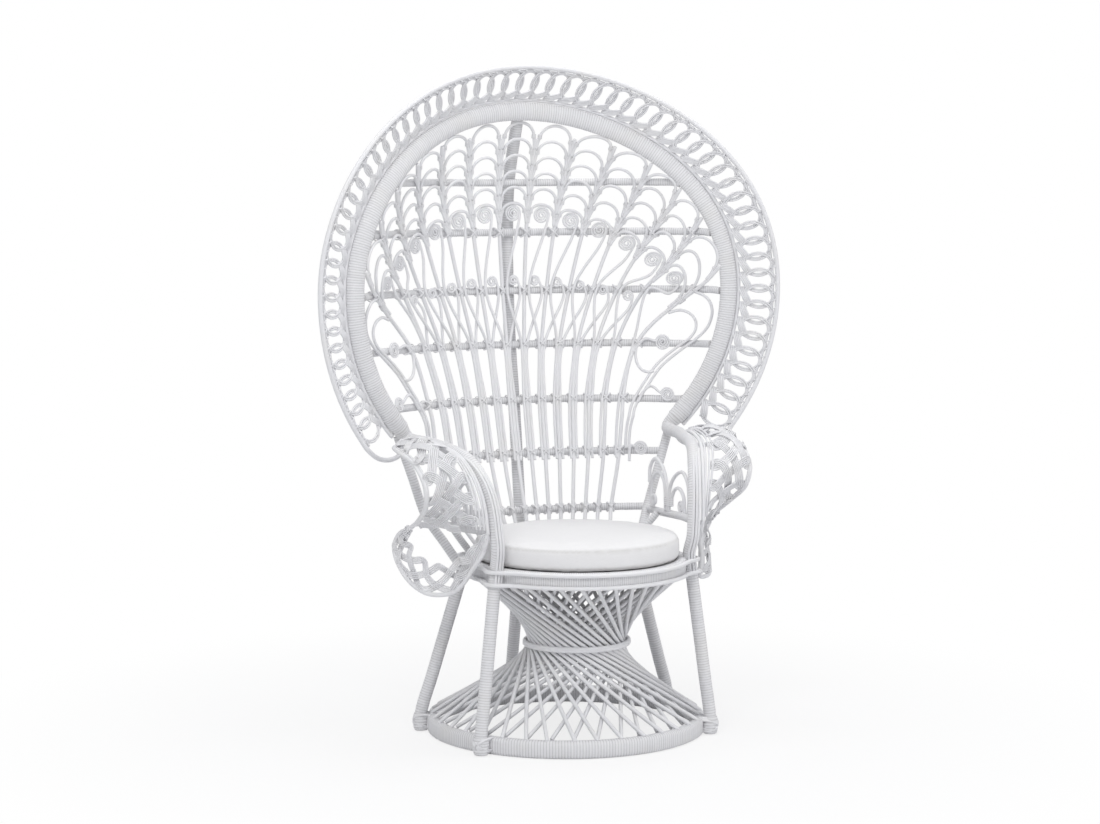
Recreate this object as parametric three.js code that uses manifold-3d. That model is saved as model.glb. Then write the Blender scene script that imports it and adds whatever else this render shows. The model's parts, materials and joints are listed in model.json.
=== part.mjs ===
// White rattan peacock chair: an hourglass cane base, a round seat with a loose cushion, lace arms
// and a tall dished back inside a wrapped hoop. Millimetres, +Z up, the front faces -Y. Everything
// is laid out about the upright axis through the middle of the base ring, and the finished group is
// moved so that its origin lies under the middle of the whole chair.
import * as THREE from 'three';
import { mergeVertices } from 'three/addons/utils/BufferGeometryUtils.js';
import Module from 'manifold-3d';

const wasm = await Module();
wasm.setup();

// Fits
const GAP = 0.4; // between touching canes
const END_GAP = 1.2; // between a cane's cut end and what it butts against

// Cane and pole stock, as radii
const POLE = 14; // wrapped legs, arm bows and rear post
const ARM_POLE = 10; // rear arm posts and arm rails
const RAIL = 8; // back rails
const STEM = 4.5; // main back spokes
const CANE = 3; // crossing canes, arches and lace
const TRIM = 4.5; // single trim canes
const BASE_CANE = 3.3; // hourglass lattice

// Base
const BASE_RADIUS = 310; // outside of the wrapped base ring
const BASE_HEIGHT = 39;
const BASE_WIDTH = 26;
const LATTICE_CANES = 36; // in each lay
const LATTICE_PARTS = 4; // groups of canes that the outer lay is made in
const WAIST_RADIUS = 105; // centre line of the outer lay
const WAIST_HEIGHT = 209;
const LAY_STEP = 16; // inner lay inside the outer lay at the rings
const WAIST_STEP = 12; // inner lay inside the outer lay at the waist
const HEAD_RING = 6; // flat ring that holds a lay's upper ends
const HEAD_RING_HALF = 4;
const FOOT_CLEAR = 2; // feet above the floor

// Seat
const SEAT_TOP = 396;
const APRON_HEIGHT = 36;
const SEAT_Y = -60; // middle of the seat ring and of the waist, in front of the base ring's middle
const APRON_RADIUS = 240;
const APRON_WIDTH = 22;
const DECK_THICKNESS = 10;
const LEG_FOOT_RADIUS = BASE_RADIUS + POLE + GAP - 1.5; // leg centre lines at the floor
const LEG_SEAT_RADIUS = APRON_RADIUS + 8; // leg centre lines, let into the seat ring
const FRONT_LEG = { foot: 57.5, seat: 67.7 }; // degrees from the front
const REAR_LEG = { foot: 110, seat: 126.7 };
const REAR_POST_Y = 266; // rear post at the seat
const TRIM_BULGE = 7.4; // degrees over which a seat trim swells round a leg
const CUSHION_INSET = 6; // from the seat ring's middle line
const CUSHION_RADIUS = APRON_RADIUS - CUSHION_INSET;
const CUSHION_BACK = -62; // middle of the cushion
const CUSHION_SIDE = 52;
const CUSHION_CROWN = 12;

// Back hoop
const HOOP_HALF_WIDTH = 453;
const HOOP_MIDDLE = 973; // height of the widest place
const HOOP_RISE = 401;
const HOOP_DROP = 449;
const HOOP_SIDE_Y = 104;
const HOOP_TOP_Y = 250;
const HOOP_LOW_Y = 142;
const HOOP_END = -42; // degrees, lower end of the hoop
const BAND_WIDTH = 42;
const BAND_DEPTH = 24;
const RIM_OUT = 98; // outer rim from the middle of the band
const RIM_FORWARD = 56;
const RIM_END = -37;
const RIM_TUBE = 6;
const TRIM_FORWARD = 0; // trim cane in front of the band's middle
const LACE_TIP = 0.9; // share of the mitre that a lace tip keeps clear
const LACE_PITCH = 68;

// Dished back panel
const DISH_Y = 308; // deepest place
const DISH_HEIGHT = HOOP_MIDDLE + 117;
const DISH_SEAT_Y = 201; // over the lowest rail
const DISH_TOP_Y = 250;
const DISH_POWER = 2.4;
const RAIL_HEIGHTS = [1210, 1098, 965, 842, 716, 596, 468];
const RAIL_STEP = 62; // longest straight length of a rail
const STEMS = 14;
const FAN_INSETS = [-67, 37, 102, 173.5]; // outermost stem inside the hoop's width at the upper rails
const LOW_PITCH = [37, 34.5, 29.5]; // stem spacing at the lower rails
const RAIL_PITCH = [
  ...FAN_INSETS.map((inset) => (2 * (HOOP_HALF_WIDTH - inset)) / (STEMS - 1)),
  ...LOW_PITCH,
];
const STEM_DRAW = 0.84; // stem spacing on the seat ring as a share of that at the lowest rail
const STUB = 18; // cut ends of the crossing canes below their last rail
const BIG_CURL = 17.5;
const SMALL_CURL = 10.5;
const SIDE_CURL = 46; // outermost curls from the side stems
const CURL_ARC_INSET = 53; // of the ellipse that the big curls follow, inside the hoop
const CURL_ARC_WIDTH = HOOP_HALF_WIDTH - CURL_ARC_INSET;
const CURL_ARC_RISE = 300;
const CURL_ARC_MIDDLE = 842;
const CURL_ARC_STEP = 10; // degrees
const SMALL_CURL_LIFT = 18;
const SMALL_CURL_SAG = 40;
const COLUMN_STEP = 11.8; // degrees round the hoop
const ARCH_SPACING = 40;
const ARCH_RISE = 19;
const HOOD_RISE = 13; // lowest arch, over the curl

// Arms
const ARM_RAIL_HEIGHT = 474;
const ARM_REAR_X = 248; // line of the rear arm post, carried down to the seat
const ARM_REAR_Y = 148;
const ARM_BEND = 450; // height below which the rear arm post bends in to the seat ring
const LYRE_CURL = 13;
const LACE_STRANDS = 5;

const white = new THREE.MeshStandardMaterial({ color: 0xe9e9ec, roughness: 0.5, metalness: 0 });
const shade = new THREE.MeshStandardMaterial({ color: 0xdcdade, roughness: 0.55, metalness: 0 });
const cloth = new THREE.MeshStandardMaterial({ color: 0xeeeded, roughness: 0.9, metalness: 0 });

const chair = new THREE.Group();
const rad = THREE.MathUtils.degToRad;
const at = (x, y, z) => new THREE.Vector3(x, y, z);
const mix = THREE.MathUtils.lerp;

function add(name, geometry, material = white) {
  geometry.computeVertexNormals();
  const mesh = new THREE.Mesh(geometry, material);
  mesh.name = name;
  chair.add(mesh);
  return mesh;
}

// Section points [up, side] of a round or oval cane
function round(up, sides, side = up) {
  return Array.from({ length: sides }, (unused, i) => {
    const turn = (2 * Math.PI * i) / sides;
    return [up * Math.cos(turn), side * Math.sin(turn)];
  });
}

// One closed body: a section carried along points, mitred at each bend. Ends that bury themselves in
// another cane are drawn in by the given factor.
function sweep(points, section, { closed = false, reference = null, ends = 1 } = {}) {
  const count = points.length;
  const sides = section.length;
  const wrap = (i) => (closed ? points[(i + count) % count] : points[Math.min(Math.max(i, 0), count - 1)]);
  const positions = [];
  let up = reference ? reference.clone() : null;
  for (let i = 0; i < count; i += 1) {
    const before = points[i].clone().sub(wrap(i - 1)).normalize();
    const after = wrap(i + 1).clone().sub(points[i]).normalize();
    if (before.lengthSq() === 0) before.copy(after);
    if (after.lengthSq() === 0) after.copy(before);
    const along = before.clone().add(after).normalize();
    if (up === null) up = Math.abs(along.y) < 0.9 ? at(0, 1, 0) : at(1, 0, 0);
    const base = reference ? reference : up;
    up = base.clone().addScaledVector(along, -base.dot(along)).normalize();
    const side = along.clone().cross(up);
    const bend = after.clone().sub(before);
    const stretch = bend.length() > 1e-6 ? 1 / Math.max(along.dot(after), 0.3) - 1 : 0;
    bend.normalize();
    const scale = !closed && (i === 0 || i === count - 1) ? ends : 1;
    for (const [u, v] of section) {
      const offset = up.clone().multiplyScalar(u * scale).addScaledVector(side, v * scale);
      offset.addScaledVector(bend, offset.dot(bend) * stretch).add(points[i]);
      positions.push(offset.x, offset.y, offset.z);
    }
  }
  const triangles = [];
  const last = closed ? count : count - 1;
  for (let i = 0; i < last; i += 1) {
    for (let k = 0; k < sides; k += 1) {
      const a = i * sides + k;
      const b = i * sides + ((k + 1) % sides);
      const c = ((i + 1) % count) * sides + ((k + 1) % sides);
      const d = ((i + 1) % count) * sides + k;
      triangles.push(a, b, c, a, c, d);
    }
  }
  for (let k = 1; k < sides - 1 && !closed; k += 1) {
    const end = (count - 1) * sides;
    triangles.push(0, k + 1, k, end, end + k, end + k + 1);
  }
  const geometry = new THREE.BufferGeometry();
  geometry.setAttribute('position', new THREE.Float32BufferAttribute(positions, 3));
  geometry.setIndex(triangles);
  return geometry;
}

function smooth(points, steps, closed = false) {
  const curve = new THREE.CatmullRomCurve3(points, closed, 'centripetal');
  const spaced = curve.getSpacedPoints(steps);
  return closed ? spaced.slice(0, -1) : spaced;
}

function circle(radius, height, steps, middle = 0) {
  return Array.from({ length: steps }, (unused, i) => polar(radius, (360 * i) / steps, height, middle));
}

// A place at an angle in degrees from the front, turning towards +X
function polar(radius, angle, height, middle = 0) {
  return at(radius * Math.sin(rad(angle)), middle - radius * Math.cos(rad(angle)), height);
}

function solid(geometry) {
  const bare = geometry.clone();
  bare.deleteAttribute('normal');
  bare.deleteAttribute('uv');
  const merged = mergeVertices(bare, 1e-4);
  const mesh = new wasm.Mesh({
    numProp: 3,
    vertProperties: new Float32Array(merged.attributes.position.array),
    triVerts: new Uint32Array(merged.index.array),
  });
  return new wasm.Manifold(mesh);
}

function surface(manifold) {
  const mesh = manifold.getMesh();
  const geometry = new THREE.BufferGeometry();
  geometry.setAttribute('position', new THREE.Float32BufferAttribute(mesh.vertProperties, 3));
  geometry.setIndex(Array.from(mesh.triVerts));
  return geometry;
}

const join = (pieces) => surface(pieces.map(solid).reduce((whole, piece) => whole.add(piece)));
const cut = (whole, tools) =>
  surface(tools.map(solid).reduce((rest, tool) => rest.subtract(tool), solid(whole)));

// Hoop centre line: the upper and the lower half are two half ellipses that share their widest place
function hoop(angle, outward = 0, forward = 0) {
  const turn = rad(angle);
  const sin = Math.sin(turn);
  const height = sin > 0 ? HOOP_RISE : HOOP_DROP;
  const low = Math.sin(rad(HOOP_END));
  const upper = (HOOP_TOP_Y - HOOP_SIDE_Y) * sin ** 3;
  const lower = (HOOP_LOW_Y - HOOP_SIDE_Y) * (sin / low) ** 2;
  const lean = sin > 0 ? upper : lower;
  const normal = at(Math.cos(turn) / HOOP_HALF_WIDTH, 0, sin / height).normalize();
  const across = HOOP_HALF_WIDTH * Math.cos(turn);
  const centre = at(across, HOOP_SIDE_Y + lean - forward, HOOP_MIDDLE + height * sin);
  return centre.addScaledVector(normal, outward);
}

function hoopRun(start, steps, outward = 0, forward = 0) {
  const angleAt = (i) => mix(start, 180 - start, i / steps);
  return Array.from({ length: steps + 1 }, (unused, i) => hoop(angleAt(i), outward, forward));
}

// Rear arm post from the seat ring to the hoop's lower end
const hoopLow = hoop(HOOP_END);
const armPostTop = hoopLow.clone().add(at(-2, POLE + ARM_POLE, -18));
const armPostFoot = at(ARM_REAR_X, ARM_REAR_Y, SEAT_TOP + 3);
const armPostRise = armPostTop.z - armPostFoot.z;
const armPostAt = (z) => armPostFoot.clone().lerp(armPostTop, (z - armPostFoot.z) / armPostRise);

// Edge of the back panel at a height: the hoop above, the rear arm post below
function panelEdge(z) {
  if (z < hoopLow.z) {
    const post = armPostAt(Math.max(z, RAIL_HEIGHTS[6]));
    const blend = THREE.MathUtils.clamp((hoopLow.z - z) / 60, 0, 1);
    return { x: mix(hoopLow.x, post.x, blend), y: mix(hoopLow.y, post.y, blend) };
  }
  const height = z > HOOP_MIDDLE ? HOOP_RISE : HOOP_DROP;
  const sin = Math.min((z - HOOP_MIDDLE) / height, 0.995);
  const place = hoop(THREE.MathUtils.radToDeg(Math.asin(sin)));
  return { x: place.x, y: place.y };
}

function panelMiddle(z) {
  const seat = DISH_HEIGHT - RAIL_HEIGHTS[6];
  const top = HOOP_MIDDLE + HOOP_RISE - DISH_HEIGHT;
  const fall = z < DISH_HEIGHT ? (DISH_Y - DISH_SEAT_Y) / seat ** 2 : (DISH_Y - DISH_TOP_Y) / top ** 2;
  return DISH_Y - fall * (Math.max(z, RAIL_HEIGHTS[6]) - DISH_HEIGHT) ** 2;
}

function panelY(x, z) {
  const edge = panelEdge(z);
  const middle = panelMiddle(z);
  return middle - (middle - edge.y) * (Math.abs(x) / edge.x) ** DISH_POWER;
}

// A place on the back panel; depth moves it backwards along the panel's normal
function panel(x, z, depth = 0) {
  const reach = 2;
  const slopeX = (panelY(x + reach, z) - panelY(x - reach, z)) / (2 * reach);
  const slopeZ = (panelY(x, z + reach) - panelY(x, z - reach)) / (2 * reach);
  const normal = at(-slopeX, 1, -slopeZ).normalize();
  return at(x, panelY(x, z), z).addScaledVector(normal, depth);
}

// Base ring with a flat foot
const baseHalf = BASE_WIDTH / 2;
const baseFlat = baseHalf - 6;
const baseSection = [
  [0, baseFlat], [0, -baseFlat], [8, -baseHalf], [BASE_HEIGHT - 8, -baseHalf],
  [BASE_HEIGHT, -baseFlat], [BASE_HEIGHT, baseFlat], [BASE_HEIGHT - 8, baseHalf], [8, baseHalf],
];
const hoopSweep = { closed: true, reference: at(0, 0, 1) };
add('base_ring', sweep(circle(BASE_RADIUS - baseHalf, 0, 24), baseSection, hoopSweep));

// Hourglass lattice: canes from the base ring through the waist to the seat apron, one lay leaning each way
const latticeLow = BASE_HEIGHT;
const latticeHigh = SEAT_TOP - APRON_HEIGHT - GAP;
function lay(step, waistStep, lean, sink, parts) {
  const foot = BASE_RADIUS - baseHalf + 5 - step;
  const head = APRON_RADIUS - 12 - step;
  const waist = WAIST_RADIUS - waistStep;
  const lowTurn = lean * THREE.MathUtils.radToDeg(Math.acos(waist / foot));
  const turn = lowTurn + lean * THREE.MathUtils.radToDeg(Math.acos(waist / head));
  const pitch = 360 / LATTICE_CANES;
  const inPart = LATTICE_CANES / parts;
  const ringSection = [
    [0, HEAD_RING_HALF], [-HEAD_RING, HEAD_RING_HALF], [-HEAD_RING, -HEAD_RING_HALF], [0, -HEAD_RING_HALF],
  ];
  const bodies = Array.from({ length: parts }, (unused, part) => {
    const angles = Array.from({ length: inPart }, (none, i) => pitch * (part * inPart + i));
    const canes = angles.map((angle) => {
      const low = polar(foot, angle, latticeLow + BASE_CANE - sink);
      const neck = polar(waist, angle + lowTurn, WAIST_HEIGHT, SEAT_Y);
      const high = polar(head, angle + turn, latticeHigh - HEAD_RING / 2, SEAT_Y);
      return sweep([low, neck, high], round(BASE_CANE, 3));
    });
    const edge = parts > 1 ? [pitch / 2 - THREE.MathUtils.radToDeg(GAP / head)] : [];
    const before = edge.map((reach) => angles[0] - reach);
    const after = edge.map((reach) => angles[inPart - 1] + reach);
    const stopAt = (angle) => polar(head, angle + turn, latticeHigh, SEAT_Y);
    const stops = [...before, ...angles, ...after].map(stopAt);
    const ring = sweep(stops, ringSection, { closed: parts === 1, reference: at(0, 0, 1) });
    return join([...canes, ring]);
  });
  return bodies;
}
const outerLay = lay(0, 0, -1, 0.2, LATTICE_PARTS);
const innerLay = lay(LAY_STEP, WAIST_STEP, 1, 2.5, 1);
outerLay.forEach((body, i) => add(`base_lattice_outer_${i + 1}`, body));
add('base_lattice_inner', innerLay[0], shade);

// Two turns of cane bind the waist
const bindRadius = WAIST_RADIUS + BASE_CANE + GAP + TRIM + 4;
const bindSection = [[-9, 0], [-6, -4], [6, -4], [9, 0], [6, 3.6], [-6, 3.6]];
add('waist_binding', sweep(circle(bindRadius, WAIST_HEIGHT, 18, SEAT_Y), bindSection, hoopSweep));

// Legs stand upright beside the base ring, then lean in; the front pair runs on upwards as the arm bows
function legPlace(leg, z) {
  const foot = polar(LEG_FOOT_RADIUS, leg.foot, Math.min(z, BASE_HEIGHT));
  const share = Math.max(0, z - BASE_HEIGHT) / (SEAT_TOP - BASE_HEIGHT);
  return foot.lerp(polar(LEG_SEAT_RADIUS, leg.seat, SEAT_TOP, SEAT_Y), share);
}
const frontTop = legPlace(FRONT_LEG, SEAT_TOP);
const hoopDown = hoopLow.clone().sub(hoop(HOOP_END + 3)).normalize();
const bowEnd = hoopLow.clone().addScaledVector(hoopDown, 2 * END_GAP);
const bowTurn = hoopLow.clone().addScaledVector(hoopDown, 34);
// A place on an arm, as a share of the way from the front leg's top to the hoop's lower end and an offset
const armPlace = ([share, x, y, z]) => frontTop.clone().lerp(hoopLow, share).add(at(x, y, z));
const bowSteps = [
  [0, 9, -20, 64], [0, 11, -17, 128], [0.04, 13.9, 2.1, 172.9], [0.3, -10, -14.2, 130],
  [0.61, -38.2, -36.3, 57.3], [0.96, -51.8, -58.2, -27.5],
];
const bowRoute = [legPlace(FRONT_LEG, SEAT_TOP + 8), ...bowSteps.map(armPlace), bowTurn, bowEnd];
const bowCurve = new THREE.CatmullRomCurve3(bowRoute, false, 'centripetal');
const bowPoints = bowCurve.getSpacedPoints(14);
function bowAt(z) {
  const i = bowPoints.findIndex((p) => p.z >= z);
  const share = (z - bowPoints[i - 1].z) / (bowPoints[i].z - bowPoints[i - 1].z);
  return bowPoints[i - 1].clone().lerp(bowPoints[i], share);
}
const mirror = (points, side) => points.map((p) => at(p.x * side, p.y, p.z));
const sides = [['left', -1], ['right', 1]];
const poleSection = round(POLE, 8);
const legCutters = [];
const cutLow = SEAT_TOP - 2 * APRON_HEIGHT;
for (const [name, side] of sides) {
  const legRun = [FOOT_CLEAR, BASE_HEIGHT, SEAT_TOP].map((z) => legPlace(FRONT_LEG, z));
  const frontRun = mirror([...legRun, ...bowPoints.slice(1)], side);
  add(`front_leg_${name}`, sweep(frontRun, poleSection));
  const rearRun = mirror([FOOT_CLEAR, BASE_HEIGHT, SEAT_TOP - 2].map((z) => legPlace(REAR_LEG, z)), side);
  add(`rear_leg_${name}`, sweep(rearRun, poleSection));
  const cutSection = round(POLE + GAP, 8);
  const seatRun = [cutLow, SEAT_TOP].map((z) => legPlace(FRONT_LEG, z));
  legCutters.push(sweep(mirror([...seatRun, ...bowPoints.slice(1, 3)], side), cutSection));
  legCutters.push(sweep(mirror([cutLow, SEAT_TOP + 20].map((z) => legPlace(REAR_LEG, z)), side), cutSection));
}

// Rear post behind the panel, from the base ring to the top of the hoop
const railDepth = STEM + GAP + RAIL * Math.cos(rad(36)); // five-sided rails lie flat against the stems
const postDepth = railDepth + RAIL + GAP + POLE;
const postTop = hoop(90, -BAND_WIDTH / 2 + 6, -BAND_DEPTH / 2 - POLE - 2);
const postRoute = [
  at(0, LEG_FOOT_RADIUS + 1.8, FOOT_CLEAR),
  at(0, LEG_FOOT_RADIUS + 1.8, BASE_HEIGHT),
  at(0, REAR_POST_Y, SEAT_TOP),
  at(0, mix(REAR_POST_Y, panel(0, RAIL_HEIGHTS[4], postDepth).y, 0.55), RAIL_HEIGHTS[5]),
  ...[4, 3, 2, 1, 0].map((i) => panel(0, RAIL_HEIGHTS[i], postDepth)),
  postTop,
];
add('rear_post', sweep(postRoute, poleSection));

// Seat ring, its two trim canes, the woven deck and the loose cushion
const apronMiddle = APRON_RADIUS - APRON_WIDTH / 2;
const apronHalf = APRON_WIDTH / 2;
const apronSection = [[0, apronHalf], [0, -apronHalf], [APRON_HEIGHT, -apronHalf], [APRON_HEIGHT, apronHalf]];
const apron = sweep(circle(apronMiddle, SEAT_TOP - APRON_HEIGHT, 32, SEAT_Y), apronSection, hoopSweep);
add('seat_apron', cut(apron, legCutters));
function seatTrim(height) {
  const reach = TRIM * Math.sin(rad(60));
  const flat = APRON_RADIUS + GAP + reach + 1;
  const places = [FRONT_LEG, REAR_LEG].map((leg) => legPlace(leg, height).sub(at(0, SEAT_Y, 0)));
  const half = places.map((p) => THREE.MathUtils.radToDeg(Math.atan2(p.x, -p.y)));
  const angles = [...half, 360 - half[1], 360 - half[0]];
  const outs = [0, 1, 1, 0].map((i) => Math.hypot(places[i].x, places[i].y) + POLE + GAP + reach + 2.8);
  const points = [];
  angles.forEach((angle, i) => {
    const next = i + 1 < angles.length ? angles[i + 1] : angles[0] + 360;
    const spread = [0, 4, 8, 13];
    const fill = Math.ceil((next - angle - 26) / 12);
    const angleAt = (unused, k) => mix(angle + 13, next - 13, (k + 1) / fill);
    const middle = Array.from({ length: fill - 1 }, angleAt);
    const last = spread.slice(1).reverse();
    const stops = [...spread.map((d) => angle + d), ...middle, ...last.map((d) => next - d)];
    for (const stop of stops) {
      const away = Math.min(Math.abs(stop - angle), Math.abs(next - stop));
      const out = stop - angle < next - stop ? outs[i] : outs[(i + 1) % outs.length];
      const swell = (out - flat) * Math.exp(-((away / TRIM_BULGE) ** 2));
      points.push(polar(flat + swell, stop, height, SEAT_Y));
    }
  });
  return sweep(points, round(TRIM, 3), hoopSweep);
}
add('seat_trim_upper', seatTrim(SEAT_TOP - TRIM));
add('seat_trim_lower', seatTrim(SEAT_TOP - APRON_HEIGHT + TRIM));
const deckRadius = APRON_RADIUS - APRON_WIDTH - GAP;
const deck = new THREE.CylinderGeometry(deckRadius, deckRadius, DECK_THICKNESS, 32);
deck.rotateX(Math.PI / 2);
deck.translate(0, SEAT_Y, SEAT_TOP - DECK_THICKNESS / 2);
add('seat_deck', mergeVertices(bareCopy(deck)), shade);
function bareCopy(geometry) {
  const bare = geometry.clone();
  bare.deleteAttribute('normal');
  bare.deleteAttribute('uv');
  return bare;
}

// Cushion: flat below, drawn in at the seams, crowned on top
const cushionLow = SEAT_TOP + GAP;
const cushionOutline = [
  [0, 0],
  [CUSHION_RADIUS - 8, 0],
  [CUSHION_RADIUS - 2.5, 4],
  [CUSHION_RADIUS, CUSHION_SIDE * 0.45],
  [CUSHION_RADIUS - 4, CUSHION_SIDE * 0.8],
  [CUSHION_RADIUS - 12, CUSHION_SIDE],
  [CUSHION_RADIUS * 0.8, CUSHION_SIDE + CUSHION_CROWN * 0.55],
  [CUSHION_RADIUS * 0.45, CUSHION_SIDE + CUSHION_CROWN * 0.9],
  [0, CUSHION_SIDE + CUSHION_CROWN],
].map(([r, h]) => new THREE.Vector2(r, h));
const cushion = new THREE.LatheGeometry(cushionOutline, 24);
cushion.rotateX(Math.PI / 2);
cushion.translate(0, CUSHION_BACK, cushionLow);
add('cushion', mergeVertices(bareCopy(cushion)), cloth);

// Back hoop, its trim cane, the two crossing lace canes and the outer rim
const bandSection = round(BAND_DEPTH / 2, 8, BAND_WIDTH / 2);
const facing = { reference: at(0, 1, 0) };
add('back_hoop', sweep(hoopRun(HOOP_END, 36), bandSection, facing));
const trimOut = BAND_WIDTH / 2 + GAP + TRIM;
add('hoop_trim', sweep(hoopRun(HOOP_END, 36, trimOut, TRIM_FORWARD), round(TRIM, 4), facing));
add('back_rim', sweep(hoopRun(RIM_END, 34, RIM_OUT, RIM_FORWARD), round(RIM_TUBE, 4), facing));
const laceLength = (Math.PI * (HOOP_HALF_WIDTH + RIM_OUT / 2) * (180 - 2 * RIM_END)) / 180;
const laceCount = 2 * Math.round(laceLength / LACE_PITCH);
const sheet = { out: RIM_OUT - trimOut, forward: RIM_FORWARD - TRIM_FORWARD };
const sheetSpan = Math.hypot(sheet.out, sheet.forward);
function lacePlace(angle, along, layer) {
  const share = along / sheetSpan;
  const tilt = layer / sheetSpan;
  const outward = trimOut + sheet.out * share - sheet.forward * tilt;
  return hoop(angle, outward, TRIM_FORWARD + sheet.forward * share + sheet.out * tilt);
}
function zigzag(phase, layer) {
  const lean = Math.atan2(sheetSpan, LACE_PITCH / 2);
  const tip = (CANE * LACE_TIP) / Math.cos(lean);
  const low = TRIM + tip * 0.42;
  const high = sheetSpan - RIM_TUBE - tip * 0.96;
  const points = [];
  for (let i = 0; i <= laceCount; i += 1) {
    const angle = mix(RIM_END + 1, 179 - RIM_END, i / laceCount);
    points.push(lacePlace(angle, (i + phase) % 2 === 0 ? low : high, layer * CANE));
  }
  return sweep(points, round(CANE, 3), facing);
}
add('lace_front', zigzag(0, 1));
add('lace_rear', zigzag(1, -1), shade);

// Stems fan out from the seat to the hoop; curls sit in the gaps between them
const middleGap = (STEMS - 2) / 2;
const middleStem = (STEMS - 1) / 2;
function curl(column) {
  const turn = rad(CURL_ARC_STEP * (column - middleGap));
  return { x: CURL_ARC_WIDTH * Math.sin(turn), z: CURL_ARC_MIDDLE + CURL_ARC_RISE * Math.cos(turn) };
}
function landing(slot, back = 0) {
  const place = hoop(90 - COLUMN_STEP * (slot - middleGap), -BAND_WIDTH / 2 - back);
  return { x: place.x, z: place.z };
}
const stemX = (stem, row) => RAIL_PITCH[row] * (stem - middleStem);
function stemXAt(stem, z) {
  const row = RAIL_HEIGHTS.findIndex((height) => height <= z);
  const share = (z - RAIL_HEIGHTS[row]) / (RAIL_HEIGHTS[row - 1] - RAIL_HEIGHTS[row]);
  return mix(stemX(stem, row), stemX(stem, row - 1), share);
}
function stemShoulder(stem) {
  const left = curl(stem - 1);
  const right = curl(stem);
  return { x: (left.x + right.x) / 2, z: (left.z + right.z) / 2 };
}
const stemHead = (stem) => landing(stem - 0.5, END_GAP + 1);
const between = (a, b, share) => ({ x: mix(a.x, b.x, share), z: mix(a.z, b.z, share) });
const onPanel = (points, depth = 0) => points.map((p) => panel(p.x, p.z, depth + (p.depth ?? 0)));

// Where a stem stands on the rear edge of the seat ring, outside the cushion
function stemFoot(stem) {
  const x = stemX(stem, 6) * STEM_DRAW;
  const reach = APRON_RADIUS + GAP;
  return at(x, SEAT_Y + Math.sqrt(reach ** 2 - x ** 2), SEAT_TOP + END_GAP + STEM / 2);
}
function stemRoute(stem) {
  const low = [6, 5, 4, 3].map((row) => ({ x: stemX(stem, row), z: RAIL_HEIGHTS[row] }));
  const outer = stem === 0 || stem === STEMS - 1;
  const third = outer ? [] : [{ x: stemX(stem, 2), z: RAIL_HEIGHTS[2] }];
  const shoulder = stemShoulder(stem);
  const head = stemHead(stem);
  return [...low, ...third, shoulder, between(shoulder, head, 0.5), head];
}

function disc(place, radius) {
  const centre = panel(place.x, place.z);
  const normal = panel(place.x, place.z, 1).sub(centre);
  const ends = [-CANE * 0.8, CANE * 0.8].map((shift) => centre.clone().addScaledVector(normal, shift));
  return sweep(ends, round(radius, radius > SMALL_CURL ? 8 : 6));
}

// A cane beside a stem below the fourth rail, crossing the gap above it
const beside = STEM + CANE - 2.7;
const pass = STEM + CANE + 1;
const frontDepth = -5.8;
const backDepth = 1;
const leaving = RAIL_HEIGHTS[3] + 24; // where a crossing cane leaves its stem
function bigCurlCane(column) {
  const tip = curl(column);
  const far = landing(column);
  const reach = Math.hypot(far.x - tip.x, far.z - tip.z);
  const along = { x: (far.x - tip.x) / reach, z: (far.z - tip.z) / reach };
  const below = (back, right, depth) => ({
    x: tip.x - along.x * back + along.z * right,
    z: tip.z - along.z * back - along.x * right,
    depth,
  });
  const owner = column + 1;
  const low = [5, 4, 3].map((row) => ({ x: stemX(owner, row) - beside, z: RAIL_HEIGHTS[row], depth: -1.2 }));
  const stub = { x: stemX(owner, 5) - beside, z: RAIL_HEIGHTS[5] - STUB, depth: -1.2 };
  const third = RAIL_HEIGHTS[2] + 4;
  const cross = { x: stemXAt(column, third) + pass, z: third, depth: frontDepth };
  const edge = { x: stemXAt(1, leaving + 40) - pass, z: leaving + 40, depth: frontDepth };
  const upper = column === 0 ? edge : cross;
  const first = { x: mix(low[2].x, upper.x, 0.2), z: mix(RAIL_HEIGHTS[3], upper.z, 0.2), depth: frontDepth };
  const lift = below(BIG_CURL + 10, BIG_CURL * 0.5, frontDepth / 2);
  const route = [stub, ...low, first, upper, lift, below(6, 8, 0)];
  return [sweep(onPanel(route), round(CANE, 3)), disc(tip, BIG_CURL)];
}
function smallCurlCane(column) {
  const x = RAIL_PITCH[2] * 0.98 * (column - middleGap);
  const sag = SMALL_CURL_SAG * (x / (RAIL_PITCH[2] * (middleGap - 1))) ** 2;
  const tip = { x, z: RAIL_HEIGHTS[2] + SMALL_CURL_LIFT - sag };
  const low = [5, 4, 3].map((row) => ({ x: stemX(column, row) + beside, z: RAIL_HEIGHTS[row] }));
  const stub = { x: stemX(column, 5) + beside, z: RAIL_HEIGHTS[5] - STUB };
  const under = tip.z - SMALL_CURL * 2;
  const cross = { x: stemXAt(column + 1, under) - pass - 1, z: under, depth: backDepth };
  const end = { x: tip.x + SMALL_CURL * 0.6, z: tip.z - SMALL_CURL * 0.2, depth: 0 };
  return [sweep(onPanel([stub, ...low, cross, end]), round(CANE, 3)), disc(tip, SMALL_CURL)];
}

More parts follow.
